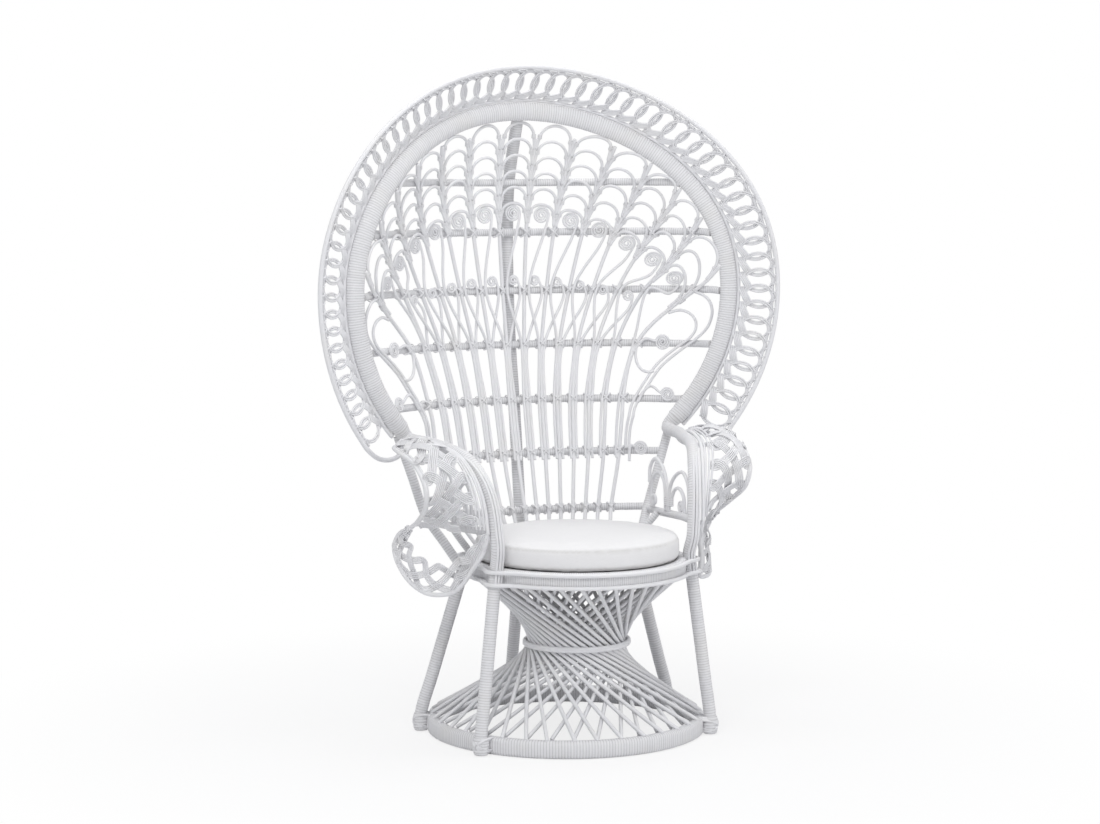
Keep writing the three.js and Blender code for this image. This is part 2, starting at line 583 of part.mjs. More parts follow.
// The outermost stems carry a second cane from the hoop's side and one more curl
function sideCanes(side) {
  const fourth = RAIL_HEIGHTS[3];
  const high = { x: side * (panelEdge(fourth + 14).x - BAND_WIDTH / 2 - 2 * END_GAP), z: fourth + 14 };
  const outside = [4, 5].map((row) => ({ x: side * (stemX(STEMS - 1, row) + 22), z: RAIL_HEIGHTS[row] }));
  const low = { x: side * stemX(STEMS - 1, 6), z: RAIL_HEIGHTS[6] };
  const bend = { x: side * (stemX(STEMS - 1, 4) + 52), z: mix(fourth, RAIL_HEIGHTS[4], 0.45) };
  const tip = { x: side * (stemX(STEMS - 1, 3) + SIDE_CURL), z: fourth + RAIL + SMALL_CURL + 2 };
  const start = { x: side * stemX(STEMS - 1, 4), z: RAIL_HEIGHTS[4] };
  const turn = { x: side * (stemX(STEMS - 1, 3) + SIDE_CURL * 0.3), z: mix(fourth, RAIL_HEIGHTS[4], 0.4) };
  const outer = sweep(onPanel([high, bend, ...outside, low]), round(CANE, 4));
  const tail = sweep(onPanel([start, turn, tip]), round(CANE, 3));
  return [outer, tail, disc(tip, SMALL_CURL)];
}

for (let stem = 0; stem < STEMS; stem += 1) {
  const route = [stemFoot(stem), ...onPanel(stemRoute(stem))];
  const slant = 2 * GAP + 3.4 * Math.min(1, Math.abs(stem - middleStem) / 4.5);
  route[route.length - 1] = hoop(90 - COLUMN_STEP * (stem - middleStem), -BAND_WIDTH / 2 - slant);
  const parts = [sweep(route, round(STEM, 4), facing)];
  if (stem === 0) parts.push(...sideCanes(-1));
  if (stem === STEMS - 1) parts.push(...sideCanes(1));
  if (stem > 0) parts.push(...bigCurlCane(stem - 1));
  if (stem > 0 && stem < STEMS - 2) parts.push(...smallCurlCane(stem));
  add(`spoke_${String(stem + 1).padStart(2, '0')}`, join(parts));
}

// Seven rails across the back, bent where they cross the stems
function stemCrossing(stem, z) {
  const route = stemRoute(stem);
  const i = route.findIndex((p) => p.z >= z);
  if (i === 0) return route[0].x;
  return i > 0 ? mix(route[i - 1].x, route[i].x, (z - route[i - 1].z) / (route[i].z - route[i - 1].z)) : null;
}
RAIL_HEIGHTS.forEach((z, row) => {
  const onPost = z < hoopLow.z;
  const edge = onPost ? armPostAt(z).x - ARM_POLE : panelEdge(z).x - BAND_WIDTH / 2;
  const end = edge - (onPost ? -1.2 : RAIL * 0.7 + END_GAP);
  const crossings = Array.from({ length: STEMS }, (unused, stem) => stemCrossing(stem, z));
  const inside = crossings.filter((x) => x !== null && Math.abs(x) < end - 5);
  const stops = [-end, ...inside, end];
  const wide = stops.flatMap((x, i) => (i > 0 && x - stops[i - 1] > RAIL_STEP ? [(x + stops[i - 1]) / 2, x] : [x]));
  const points = wide.map((x) => panel(x, z, row === 6 ? railDepth + GAP : railDepth));
  const reference = panel(0, z, 1).sub(panel(0, z));
  add(`rail_${row + 1}`, sweep(points, round(RAIL, 5), { reference }), shade);
});

// Scallops: nested arches from each big curl up to the hoop, tied to two legs beside the stems
for (let column = 0; column < STEMS - 1; column += 1) {
  const low = curl(column);
  const high = landing(column);
  const length = Math.hypot(high.x - low.x, high.z - low.z);
  const hood = BIG_CURL + GAP + 2 * CANE;
  const crown = length - CANE - GAP;
  const arches = Math.max(2, Math.round((crown - hood) / ARCH_SPACING)) + 1;
  const legAt = (stem, share, inward) => {
    const place = between(stemShoulder(stem), stemHead(stem), share);
    const fan = Math.abs(stem - middleStem) / middleStem;
    const reach = STEM + CANE * 0.87 + (2 + 2.2 * fan) * GAP;
    const across = between(stemShoulder(stem + inward), stemHead(stem + inward), share);
    const width = Math.hypot(across.x - place.x, across.z - place.z);
    return between(place, across, reach / width);
  };
  const parts = [];
  let lowest = 1;
  let highest = 0;
  for (let i = 0; i < arches; i += 1) {
    const apexAt = mix(hood, crown, i / (arches - 1));
    const footShare = (apexAt - (i === 0 ? HOOD_RISE : ARCH_RISE)) / length;
    lowest = Math.min(lowest, footShare);
    highest = Math.max(highest, footShare);
    const left = legAt(column, footShare, 1);
    const right = legAt(column + 1, footShare, -1);
    const apex = between(low, high, apexAt / length);
    const middle = between(left, right, 0.5);
    const points = [0, 0.3, 0.5, 0.7, 1].map((half) => {
      const turn = Math.PI * half;
      const across = between(middle, left, Math.cos(turn));
      const rise = Math.sin(turn);
      return { x: across.x + (apex.x - middle.x) * rise, z: across.z + (apex.z - middle.z) * rise };
    });
    parts.push(sweep(onPanel(points), round(CANE, 3), { ends: 0.4 }));
  }
  for (const [stem, inward] of [[column, 1], [column + 1, -1]]) {
    const shares = [lowest - 0.02, mix(lowest, highest, 0.5), highest + 0.04];
    parts.push(sweep(onPanel(shares.map((share) => legAt(stem, share, inward))), round(CANE, 3)));
  }
  add(`scallop_${String(column + 1).padStart(2, '0')}`, join(parts));
}

// Arms: rear post, side rail with its lyre of bent cane, and the rolled lace flare
const postSeat = legPlace(REAR_LEG, SEAT_TOP).add(at(0, 0, END_GAP + ARM_POLE / 2));
const postLean = postSeat.clone().lerp(armPostAt(ARM_BEND), 0.12).add(at(0, 0, ARM_POLE));
const postRun = [postSeat, postLean, armPostAt(ARM_BEND), armPostTop];
const railFront = ARM_RAIL_HEIGHT - 14;
const railRoute = [
  armPostAt(ARM_RAIL_HEIGHT).add(at(0, -ARM_POLE / 2, 0)),
  at(ARM_REAR_X + 16, ARM_REAR_Y - 108, ARM_RAIL_HEIGHT),
  at(frontTop.x + 26, frontTop.y + 95, ARM_RAIL_HEIGHT - 4),
  bowAt(railFront).add(at(4, POLE + 1.4, 0)),
];
const lyreX = (y) => frontTop.x + 28 - 0.02 * y;
const lyreMiddle = (frontTop.y + ARM_REAR_Y) / 2;
const lyreLoops = [
  [[20, 0], [24, 61], [46, 98], [82, 114], [108, 92], [112, 56]],
  [[30, 0], [38, 66], [62, 84], [90, 72], [104, 40], [100, 0]],
  [[14, 0], [8, 56], [-20, 86], [-54, 96], [-78, 74], [-84, 36], [-78, 0]],
  [[4, 26], [-14, 52], [-36, 58], [-58, 42], [-62, 0]],
];
const lyreCurls = [[88, 16], [-46, 16]];
const lyrePlace = ([y, z]) => at(lyreX(lyreMiddle + y), lyreMiddle + y, ARM_RAIL_HEIGHT + z);
const flareOuter = [
  [1, 1.4, -62, -31.6], [0.92, 49.9, -56.2, -7.4], [0.61, 102.1, -36.1, 75.3], [0.24, 136.8, -11.1, 159.6],
  [0.05, 151.1, 2.4, 175.2], [0.08, 140.9, -0.5, 126.9], [0.3, 109.3, -13.9, 29], [0, 140.5, 140.3, 80],
  [0, 148.5, 200.3, 56], [0, 149.5, 225.3, 19], [0, 138.5, 183.3, -34], [0, 110.5, 127.3, -64],
  [0, 82.5, 89.3, -65], [0, 67.5, 57.3, -36], [0, 58.5, 31.3, 8],
].map(armPlace);
const flareInner = [
  [1, 1.4, -62, -31.6], [0.87, -18.8, -53.4, 3.4], [0.7, -20.5, -42.8, 43.4], [0.39, 4.7, -20.7, 114.1],
  [0.15, 25.4, -4.3, 158.5], [0, 33.5, 5.3, 164], [0, 27.7, -10.7, 124], [0, 27.7, -10.7, 74],
  [0, 40.5, 5.3, 36], [0, 58.5, 31.3, 8],
].map(armPlace);
for (const [name, side] of sides) {
  const post = sweep(mirror(postRun, side), round(ARM_POLE, 6));
  const rail = sweep(mirror(smooth(railRoute, 6), side), round(ARM_POLE - 1, 6));
  const loops = lyreLoops.map((loop) => {
    const points = smooth(loop.map(lyrePlace), loop.length + 2);
    return sweep(mirror(points, side), round(CANE, 3));
  });
  const curls = lyreCurls.map((place) => {
    const ends = [-CANE, CANE].map((shift) => lyrePlace(place).add(at(shift, 0, 0)));
    return sweep(mirror(ends, side), round(LYRE_CURL, 8));
  });
  add(`arm_side_${name}`, join([post, rail, ...loops, ...curls]));

  const outer = new THREE.CatmullRomCurve3(flareOuter, false, 'centripetal');
  const inner = new THREE.CatmullRomCurve3(flareInner, false, 'centripetal');
  const rim = [...outer.getSpacedPoints(20), ...inner.getSpacedPoints(10).reverse().slice(1, -1)];
  const strands = [];
  for (const skew of [-0.1, 0.1]) {
    for (let i = 1; i <= LACE_STRANDS; i += 1) {
      const share = i / (LACE_STRANDS + 1);
      const start = outer.getPointAt(THREE.MathUtils.clamp(share + skew, 0.03, 0.97));
      const finish = inner.getPointAt(THREE.MathUtils.clamp(share - skew * 0.6, 0.03, 0.97));
      const swell = at(8 + 40 * skew, 0, mix(26, -6, share));
      const swollen = (t) => start.clone().lerp(finish, t).addScaledVector(swell, 4 * t * (1 - t));
      const points = [0, 0.5, 1].map(swollen);
      strands.push(sweep(mirror(points, side), round(CANE, 3), { ends: 0.5 }));
    }
  }
  const ring = sweep(mirror(rim, side), round(TRIM, 4), { closed: true });
  add(`arm_lace_${name}`, join([ring, ...strands]));
}

// Origin on the floor under the middle of the whole chair
const box = new THREE.Box3().setFromObject(chair);
chair.position.set(-(box.min.x + box.max.x) / 2, -(box.min.y + box.max.y) / 2, -box.min.z);

export default chair;
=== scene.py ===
"""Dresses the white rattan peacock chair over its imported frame.

Sizes are in millimetres about the upright axis through the middle of the base ring, with +X to the
viewer's right, +Y to the back and +Z up, and become metres in the frame's own place when a mesh is made.
"""

import json
import logging
import math
from dataclasses import dataclass
from enum import Enum

import bpy
import numpy as np
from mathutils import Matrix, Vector

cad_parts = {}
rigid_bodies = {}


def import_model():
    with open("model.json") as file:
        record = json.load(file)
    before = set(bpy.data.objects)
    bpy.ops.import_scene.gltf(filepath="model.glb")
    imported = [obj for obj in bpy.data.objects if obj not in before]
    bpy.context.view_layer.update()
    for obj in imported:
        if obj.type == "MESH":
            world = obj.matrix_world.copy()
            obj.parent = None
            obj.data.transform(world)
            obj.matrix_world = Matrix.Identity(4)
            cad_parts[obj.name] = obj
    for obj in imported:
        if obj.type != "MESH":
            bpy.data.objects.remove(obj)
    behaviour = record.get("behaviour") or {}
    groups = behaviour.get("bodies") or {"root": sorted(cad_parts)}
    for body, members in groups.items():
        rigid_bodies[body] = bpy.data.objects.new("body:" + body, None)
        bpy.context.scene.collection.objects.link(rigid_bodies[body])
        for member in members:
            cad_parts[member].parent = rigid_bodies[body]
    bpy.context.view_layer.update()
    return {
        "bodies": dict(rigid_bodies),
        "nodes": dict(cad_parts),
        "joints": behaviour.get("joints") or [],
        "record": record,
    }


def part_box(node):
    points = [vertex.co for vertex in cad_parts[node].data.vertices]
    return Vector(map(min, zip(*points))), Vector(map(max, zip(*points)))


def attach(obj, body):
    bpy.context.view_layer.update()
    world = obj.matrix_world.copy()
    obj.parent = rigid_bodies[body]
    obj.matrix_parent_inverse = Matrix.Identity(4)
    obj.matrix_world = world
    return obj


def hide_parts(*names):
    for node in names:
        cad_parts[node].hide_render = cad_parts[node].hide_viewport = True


Array = np.ndarray
LOG = logging.getLogger("peacock_chair")
MM = 0.001
PHOTO_WIDTH = 1100.0
SENSOR_WIDTH = 36.0
BACKWARD = np.array([0.0, 1.0, 0.0])
UPWARD = np.array([0.0, 0.0, 1.0])
SEAT_Y = -60.0


class Side(Enum):
    """The two sides of the chair, as signs of X."""

    LEFT = -1
    RIGHT = 1

    @property
    def label(self) -> str:
        """The side's name in piece and node names."""
        return self.name.lower()

    def mirror(self, points: Array) -> Array:
        """Points made for the right side, moved to this side."""
        return np.asarray(points, float) * np.array([self.value, 1.0, 1.0])


class Stock(Enum):
    """Kinds of material that the chair is made from."""

    CANE = "white_cane"
    BINDING = "white_binding"
    DECK = "woven_deck"
    CLOTH = "cushion_cloth"


def unit(vectors: Array) -> Array:
    """Vectors scaled to length one."""
    return vectors / np.maximum(np.linalg.norm(vectors, axis=-1, keepdims=True), 1e-9)


def mix(first: float, last: float, share: float) -> float:
    """The value at a share of the way from first to last."""
    return first + (last - first) * share


def polar(radius: float | Array, angle: float | Array, height: float | Array, middle: float = 0.0) -> Array:
    """Places at angles in degrees from the front, turning towards +X.

    Args:
        radius: Distance from an upright axis.
        angle: Degrees from the front.
        height: Height above the floor.
        middle: How far the axis lies behind the base ring's middle.

    Returns:
        One place, or an array of places.
    """
    turn = np.radians(angle)
    flat = np.broadcast_arrays(radius * np.sin(turn), middle - radius * np.cos(turn), height)
    return np.stack(flat, -1).astype(float)


def lengths(path: Array, closed: bool = False) -> Array:
    """Distance along a path at each point, with the way back to the start if it is closed."""
    run = np.vstack([path, path[:1]]) if closed else path
    return np.concatenate([[0.0], np.cumsum(np.linalg.norm(np.diff(run, axis=0), axis=1))])


def along(path: Array, stations: Array, closed: bool = False) -> Array:
    """Places at distances along a path.

    Args:
        path: Points of the path.
        stations: Distances from its start.
        closed: Whether the path runs back to its start.

    Returns:
        One place for each distance.
    """
    run = np.vstack([path, path[:1]]) if closed else path
    reach = lengths(path, closed)
    return np.stack([np.interp(stations, reach, run[:, k]) for k in range(run.shape[1])], -1)


def resample(path: Array, spacing: float, closed: bool = False) -> Array:
    """The same path with its points evenly spaced, about the given distance apart."""
    total = lengths(path, closed)[-1]
    count = max(2, round(total / spacing))
    stations = np.linspace(0, total, count + 1)
    return along(path, stations[:-1] if closed else stations, closed)


def bend(points: Array | list, spacing: float = 6.0, closed: bool = False) -> Array:
    """A smooth cane line through points.

    Args:
        points: Places that the line passes through.
        spacing: Distance between the points of the result.
        closed: Whether the line runs back to its start.

    Returns:
        Evenly spaced points of the line.
    """
    knots = np.asarray(points, float)
    ends = (2 * knots[:1] - knots[1:2], 2 * knots[-1:] - knots[-2:-1])
    if closed:
        ends = (knots[-1:], knots[:2])
    padded = np.vstack([ends[0], knots, ends[1]])
    share = np.linspace(0, 1, 20, endpoint=False)[:, None]
    runs = []
    for before, start, finish, after in zip(padded, padded[1:], padded[2:], padded[3:]):
        pairs = ((before, start), (start, finish), (finish, after))
        gaps = [max(np.linalg.norm(b - a), 1e-6) ** 0.5 for a, b in pairs]
        pace = (finish - start) / gaps[1]
        leave = (start - before) / gaps[0] - (finish - before) / (gaps[0] + gaps[1]) + pace
        arrive = pace - (after - start) / (gaps[1] + gaps[2]) + (after - finish) / gaps[2]
        from_start = (2 * share**3 - 3 * share**2 + 1) * start
        from_start = from_start + (share**3 - 2 * share**2 + share) * leave * gaps[1]
        to_finish = (3 * share**2 - 2 * share**3) * finish + (share**3 - share**2) * arrive * gaps[1]
        runs.append(from_start + to_finish)
    if not closed:
        runs.append(knots[-1:])
    return resample(np.vstack(runs), spacing, closed)


def oval(up: float, side: float, sides: int) -> Array:
    """Section points of a round or oval cane, as distances upwards and sideways."""
    turn = 2 * np.pi * np.arange(sides) / sides
    return np.stack([up * np.cos(turn), side * np.sin(turn)], -1)


def soft_box(up: float, side: float, corner: float) -> Array:
    """Section points of a box with rounded corners, from its half height and half width."""
    points = []
    for quarter, (sign_up, sign_side) in enumerate(((1, 1), (-1, 1), (-1, -1), (1, -1))):
        for step in (0.0, 0.5, 1.0):
            turn = np.pi / 2 * (quarter + step)
            points.append(
                [
                    sign_up * (up - corner) + corner * np.cos(turn),
                    sign_side * (side - corner) + corner * np.sin(turn),
                ]
            )
    return np.array(points)


def frames(path: Array, closed: bool, reference: Array | None) -> tuple[Array, Array]:
    """Section axes along a path.

    Args:
        path: Points of the path.
        closed: Whether the path runs back to its start.
        reference: Direction that the section's upward axis keeps to, or None to carry it along.

    Returns:
        The upward and the sideways axis at each point.
    """
    ahead = unit(np.roll(path, -1, axis=0) - path)
    if not closed:
        ahead[-1] = ahead[-2]
    behind = np.roll(ahead, 1, axis=0)
    if not closed:
        behind[0] = ahead[0]
    course = unit(ahead + behind)
    if reference is not None:
        up = np.broadcast_to(reference, course.shape)
        up = unit(up - course * np.sum(up * course, axis=1, keepdims=True))
        return up, np.cross(course, up)
    up = np.empty_like(course)
    axis = np.eye(3)[np.argmin(np.abs(course[0]))]
    for i, direction in enumerate(course):
        axis = axis - direction * np.dot(axis, direction)
        axis /= np.linalg.norm(axis)
        up[i] = axis
    return up, np.cross(course, up)


class Draft:
    """The canes of one piece, gathered before its mesh is made."""

    END = 0.25
    TURN_STATIONS = (0.0, 0.16, 0.5, 0.84)
    TURN_SUNK = (1.0, 0.2, 0.0, 0.2)

    def __init__(self, seed: int) -> None:
        """Starts an empty piece whose small irregularities follow from the seed."""
        self.random = np.random.default_rng(seed)
        self.points: list[Array] = []
        self.flow: list[Array] = []
        self.sunk: list[Array] = []
        self.faces: list[Array] = []
        self.caps: list[Array] = []
        self.count = 0

    def tube(
        self,
        path: Array,
        section: Array,
        closed: bool = False,
        reference: Array | None = None,
        scale: Array | float = 1.0,
        grow: Array | float = 0.0,
        sunk: Array | float = 0.0,
        tone: Array | float | None = None,
    ) -> None:
        """Adds a section carried along a path.

        Args:
            path: Points of the path.
            section: Section points, as distances upwards and sideways.
            closed: Whether the path runs back to its start.
            reference: Direction that the section's upward axis keeps to.
            scale: Size of the section at each point.
            grow: Distance by which the section is let out at each point.
            sunk: How far each point lies in a groove, from 0 to 1.
            tone: Shade number at each point, from 0 to 1.
        """
        count = len(path)
        sides = len(section)
        up, side = frames(path, closed, reference)
        edge = np.roll(section, -1, axis=0) - np.roll(section, 1, axis=0)
        outward = unit(np.stack([edge[:, 1], -edge[:, 0]], -1))
        spread = np.broadcast_to(scale, (count,))[:, None, None] * section
        spread = spread + np.broadcast_to(grow, (count,))[:, None, None] * outward
        rings = path[:, None, :] + spread[..., :1] * up[:, None, :] + spread[..., 1:] * side[:, None, :]
        if tone is None:
            tone = self.random.random()
        girth = np.linalg.norm(edge, axis=1).sum() / 2
        flow = np.empty((count, sides, 3))
        flow[..., 0] = lengths(path)[:, None]
        flow[..., 1] = girth * np.arange(sides) / sides
        flow[..., 2] = np.broadcast_to(tone, (count,))[:, None]
        row = np.arange(count if closed else count - 1)[:, None]
        column = np.arange(sides)[None, :]
        near, far = row * sides, ((row + 1) % count) * sides
        following = (column + 1) % sides
        quads = np.stack([near + column, near + following, far + following, far + column], -1)
        self.faces.append(quads.reshape(-1, 4) + self.count)
        if not closed:
            start = np.arange(sides)[::-1] + self.count
            self.caps += [start, np.arange(sides) + self.count + (count - 1) * sides]
        self.points.append(rings.reshape(-1, 3))
        self.flow.append(flow.reshape(-1, 3))
        self.sunk.append(np.repeat(np.broadcast_to(sunk, (count,)), sides))
        self.count += count * sides

    def cane(
        self,
        path: Array,
        radius: float,
        sides: int = 8,
        closed: bool = False,
        reference: Array | None = None,
        tip: float = 1.0,
    ) -> None:
        """Adds a plain round cane with eased ends.

        Args:
            path: Points of its centre line.
            radius: Its radius.
            sides: Sides of its section.
            closed: Whether it runs back to its start.
            reference: Direction that the section keeps to.
            tip: Size of the far end, as a share of the radius.
        """
        if closed:
            self.tube(path, oval(radius, radius, sides), True, reference)
            return
        reach = lengths(path)
        ease = min(self.END * radius, reach[-1] / 4)
        stations = np.concatenate([[0.0, ease], reach[1:-1], [reach[-1] - ease, reach[-1]]])
        stations.sort()
        scale = np.interp(stations / reach[-1], [0.0, 1.0], [1.0, tip])
        scale[[0, -1]] *= 0.78
        self.tube(along(path, stations), oval(radius, radius, sides), False, reference, scale)

    def wrapped(
        self,
        path: Array,
        section: Array,
        pitch: float,
        depth: float = 0.9,
        closed: bool = False,
        reference: Array | None = None,
        scale: Array | None = None,
    ) -> None:
        """Adds a pole bound with flat cane: each turn is a low ridge between two grooves.

        Args:
            path: Points of the pole's centre line.
            section: Section points of the bound pole.
            pitch: Width of one turn of the binding.
            depth: Depth of the grooves between turns.
            closed: Whether the pole is a ring.
            reference: Direction that the section's upward axis keeps to.
            scale: Size of the section at each point of the path, or None for one size.
        """
        reach = lengths(path, closed)
        turns = max(1, round(reach[-1] / pitch))
        stations = (np.arange(turns)[:, None] + np.array(self.TURN_STATIONS)).ravel()
        sunk = np.tile(self.TURN_SUNK, turns)
        lift = np.repeat(-np.abs(self.random.normal(0, 0.16, turns)), len(self.TURN_SUNK))
        tone = np.repeat(self.random.random(turns), len(self.TURN_SUNK))
        if not closed:
            stations = np.append(stations, turns)
            sunk, lift, tone = np.append(sunk, 1.0), np.append(lift, 0.0), np.append(tone, 0.5)
        stations = stations / turns * reach[-1]
        size = 1.0 if scale is None else np.interp(stations, reach[: len(scale)], scale)
        grow = -depth * sunk + lift * (1 - sunk)
        self.tube(along(path, stations, closed), section, closed, reference, size, grow, sunk, tone)

    def lash(self, centre: Array, across: Array, upward: Array, inward: Array, reach: "Lashing") -> None:
        """Adds two crossed loops of thin cane that tie a cane to what lies behind it.

        Args:
            centre: Middle of the front cane.
            across: Direction across the front cane.
            upward: Direction along the front cane.
            inward: Direction from the front cane to what lies behind it.
            reach: Sizes of the loops.
        """
        turn = np.linspace(0, 2 * np.pi, reach.steps, endpoint=False)[:, None]
        middle = centre + inward * (reach.rear - reach.front) / 2
        for lean in (-1, 1):
            slant = across * reach.half_width + upward * reach.half_height * lean
            loop = middle + slant * np.cos(turn) - inward * (reach.rear + reach.front) / 2 * np.sin(turn)
            facing = unit(np.cross(slant, inward))
            self.tube(loop, oval(reach.breadth, reach.thickness, 6), True, facing)

    def build(self, name: str, axis_y: float) -> bpy.types.Object:
        """Makes the piece's mesh object.

        Args:
            name: The piece's name.
            axis_y: The chair axis's place in the frame, in metres.

        Returns:
            The new object, linked to the scene.
        """
        points = np.vstack(self.points) * MM + np.array([0.0, axis_y, 0.0])
        loops = np.concatenate([np.vstack(self.faces).ravel(), *self.caps])
        quads = np.full(sum(map(len, self.faces)), 4)
        sizes = np.concatenate([quads, [len(cap) for cap in self.caps]]).astype(int)
        starts = np.concatenate([[0], np.cumsum(sizes)[:-1]])
        mesh = bpy.data.meshes.new(name)
        mesh.vertices.add(len(points))
        mesh.vertices.foreach_set("co", points.ravel())
        mesh.loops.add(len(loops))
        mesh.loops.foreach_set("vertex_index", loops)
        mesh.polygons.add(len(sizes))
        mesh.polygons.foreach_set("loop_start", starts)
        mesh.polygons.foreach_set("use_smooth", np.ones(len(sizes), bool))
        mesh.update(calc_edges=True)
        flow = mesh.attributes.new("flow", "FLOAT_VECTOR", "POINT")
        flow.data.foreach_set("vector", (np.vstack(self.flow) * np.array([MM, MM, 1.0])).ravel())
        sunk = mesh.attributes.new("sunk", "FLOAT", "POINT")
        sunk.data.foreach_set("value", np.concatenate(self.sunk))
        piece = bpy.data.objects.new(name, mesh)
        bpy.context.scene.collection.objects.link(piece)
        return piece


@dataclass(frozen=True)
class Lashing:
    """Sizes of the crossed loops that tie two canes."""

    half_width: float
    half_height: float
    front: float
    rear: float
    breadth: float = 1.5
    thickness: float = 0.8
    steps: int = 18


class Value:
    """A shader socket that takes part in Python expressions."""

    def __init__(self, shader: "Shader", socket: bpy.types.NodeSocket) -> None:
        """Wraps an output socket of the shader."""
        self.shader = shader
        self.socket = socket

    def math(self, operation: str, first: "Value | float", second: "Value | float") -> "Value":
        """A Math node on two values."""
        return self.shader.out("ShaderNodeMath", {"operation": operation}, {0: first, 1: second})

    def __add__(self, other: "Value | float") -> "Value":
        """Sum."""
        return self.math("ADD", self, other)

    def __radd__(self, other: float) -> "Value":
        """Sum with a number first."""
        return self.math("ADD", other, self)

    def __sub__(self, other: "Value | float") -> "Value":
        """Difference."""
        return self.math("SUBTRACT", self, other)

    def __rsub__(self, other: float) -> "Value":
        """Difference from a number."""
        return self.math("SUBTRACT", other, self)

    def __mul__(self, other: "Value | float") -> "Value":
        """Product."""
        return self.math("MULTIPLY", self, other)

    def __rmul__(self, other: float) -> "Value":
        """Product with a number first."""
        return self.math("MULTIPLY", other, self)

    def over(self, low: float, high: float) -> "Value":
        """The value's place between low and high, held from 0 to 1."""
        inputs = {"Value": self, "From Min": low, "From Max": high}
        return self.shader.out("ShaderNodeMapRange", {"interpolation_type": "SMOOTHSTEP"}, inputs)


class Shader:
    """The node tree of one material."""

    def __init__(self, name: str) -> None:
        """Starts a material with an empty tree."""
        self.material = bpy.data.materials.new(name)
        self.material.use_nodes = True
        self.tree = self.material.node_tree
        self.tree.nodes.clear()

    def node(self, kind: str, settings: dict | None = None, inputs: dict | None = None) -> bpy.types.Node:
        """Adds a node.

        Args:
            kind: The node's type.
            settings: Properties of the node, set first.
            inputs: Values or links of its input sockets, by name or number.

        Returns:
            The new node.
        """
        made = self.tree.nodes.new(kind)
        for key, setting in (settings or {}).items():
            setattr(made, key, setting)
        for key, given in (inputs or {}).items():
            if isinstance(given, Value):
                self.tree.links.new(given.socket, made.inputs[key])
            elif isinstance(given, bpy.types.NodeSocket):
                self.tree.links.new(given, made.inputs[key])
            else:
                made.inputs[key].default_value = given
        return made

    def out(
        self,
        kind: str,
        settings: dict | None = None,
        inputs: dict | None = None,
        name: str | int = 0,
    ) -> Value:
        """Adds a node and gives one of its outputs."""
        return Value(self, self.node(kind, settings, inputs).outputs[name])

    def attribute(self, name: str, output: str) -> Value:
        """A mesh attribute."""
        return self.out("ShaderNodeAttribute", {"attribute_name": name}, name=output)

    def noise(self, vector: Value, scale: float, detail: float = 3.0) -> Value:
        """A noise value over a vector."""
        inputs = {"Vector": vector, "Scale": scale, "Detail": detail}
        return self.out("ShaderNodeTexNoise", None, inputs, "Fac")

    def stretch(self, vector: Value, factors: tuple[float, float, float]) -> Value:
        """A vector scaled along each axis."""
        settings = {"operation": "MULTIPLY"}
        return self.out("ShaderNodeVectorMath", settings, {0: vector, 1: factors}, "Vector")

    def part(self, vector: Value, axis: str) -> Value:
        """One component of a vector."""
        return self.out("ShaderNodeSeparateXYZ", None, {0: vector}, axis)

    def blend(self, first: "Value | tuple", second: "Value | tuple", factor: "Value | float") -> Value:
        """A colour between two colours."""
        inputs = {0: factor, 6: first, 7: second}
        return self.out("ShaderNodeMix", {"data_type": "RGBA"}, inputs, 2)

    def finish(
        self,
        inputs: dict,
        height: Value | None = None,
        distance: float = 0.0,
    ) -> bpy.types.Material:
        """Closes the tree with a Principled shader.

        Args:
            inputs: Values or links of the shader's sockets.
            height: Surface relief, or None.
            distance: Depth of the relief, in metres.

        Returns:
            The finished material.
        """
        if height is not None:
            bump = {"Height": height, "Distance": distance, "Strength": 1.0}
            inputs["Normal"] = self.out("ShaderNodeBump", None, bump, "Normal")
        surface = self.out("ShaderNodeBsdfPrincipled", None, inputs, "BSDF")
        self.node("ShaderNodeOutputMaterial", None, {"Surface": surface})
        return self.material


def colour(red: float, green: float, blue: float) -> tuple[float, float, float, float]:
    """A colour with full cover, from linear parts."""
    return (red, green, blue, 1.0)


@dataclass(frozen=True)
class PaintedCane:
    """White paint over cane, with painted shade darkening the grooves between turns."""

    name: str
    paint: tuple = colour(0.80, 0.80, 0.815)
    cool: tuple = colour(0.72, 0.72, 0.745)
    warm: tuple = colour(0.78, 0.77, 0.755)
    # Painted shade: colour and strength of the darkening in the grooves between turns.
    groove: tuple = colour(0.38, 0.37, 0.37)
    groove_shade_share: float = 0.6
    roughness: float = 0.44
    relief: float = 0.00025

    def make(self) -> bpy.types.Material:
        """Builds the material."""
        shader = Shader(self.name)
        flow = shader.attribute("flow", "Vector")
        sunk = shader.attribute("sunk", "Fac")
        place = shader.out("ShaderNodeTexCoord", name="Object")
        tone = shader.part(flow, "Z")
        streak = shader.noise(shader.stretch(flow, (60.0, 900.0, 17.0)), 1.0, 4.0)
        patch = shader.noise(place, 14.0)
        grain = shader.noise(place, 420.0, 2.0)
        uneven = streak.over(0.35, 0.75) * 0.4 + tone * 0.5
        painted = shader.blend(self.paint, self.cool, uneven * 0.8)
        painted = shader.blend(painted, self.warm, patch.over(0.45, 0.75) * 0.45)
        # Painted shade: the grooves between turns are darkened in the base colour, broken up by grain
        # noise.
        painted_groove_shade = sunk * (0.55 + 0.45 * grain)
        surface = shader.blend(painted, self.groove, painted_groove_shade * self.groove_shade_share)
        rough = self.roughness + streak * 0.14 + sunk * 0.2
        height = streak * 0.7 + grain * 0.3
        inputs = {"Base Color": surface, "Roughness": rough, "Specular IOR Level": 0.4}
        return shader.finish(inputs, height, self.relief)


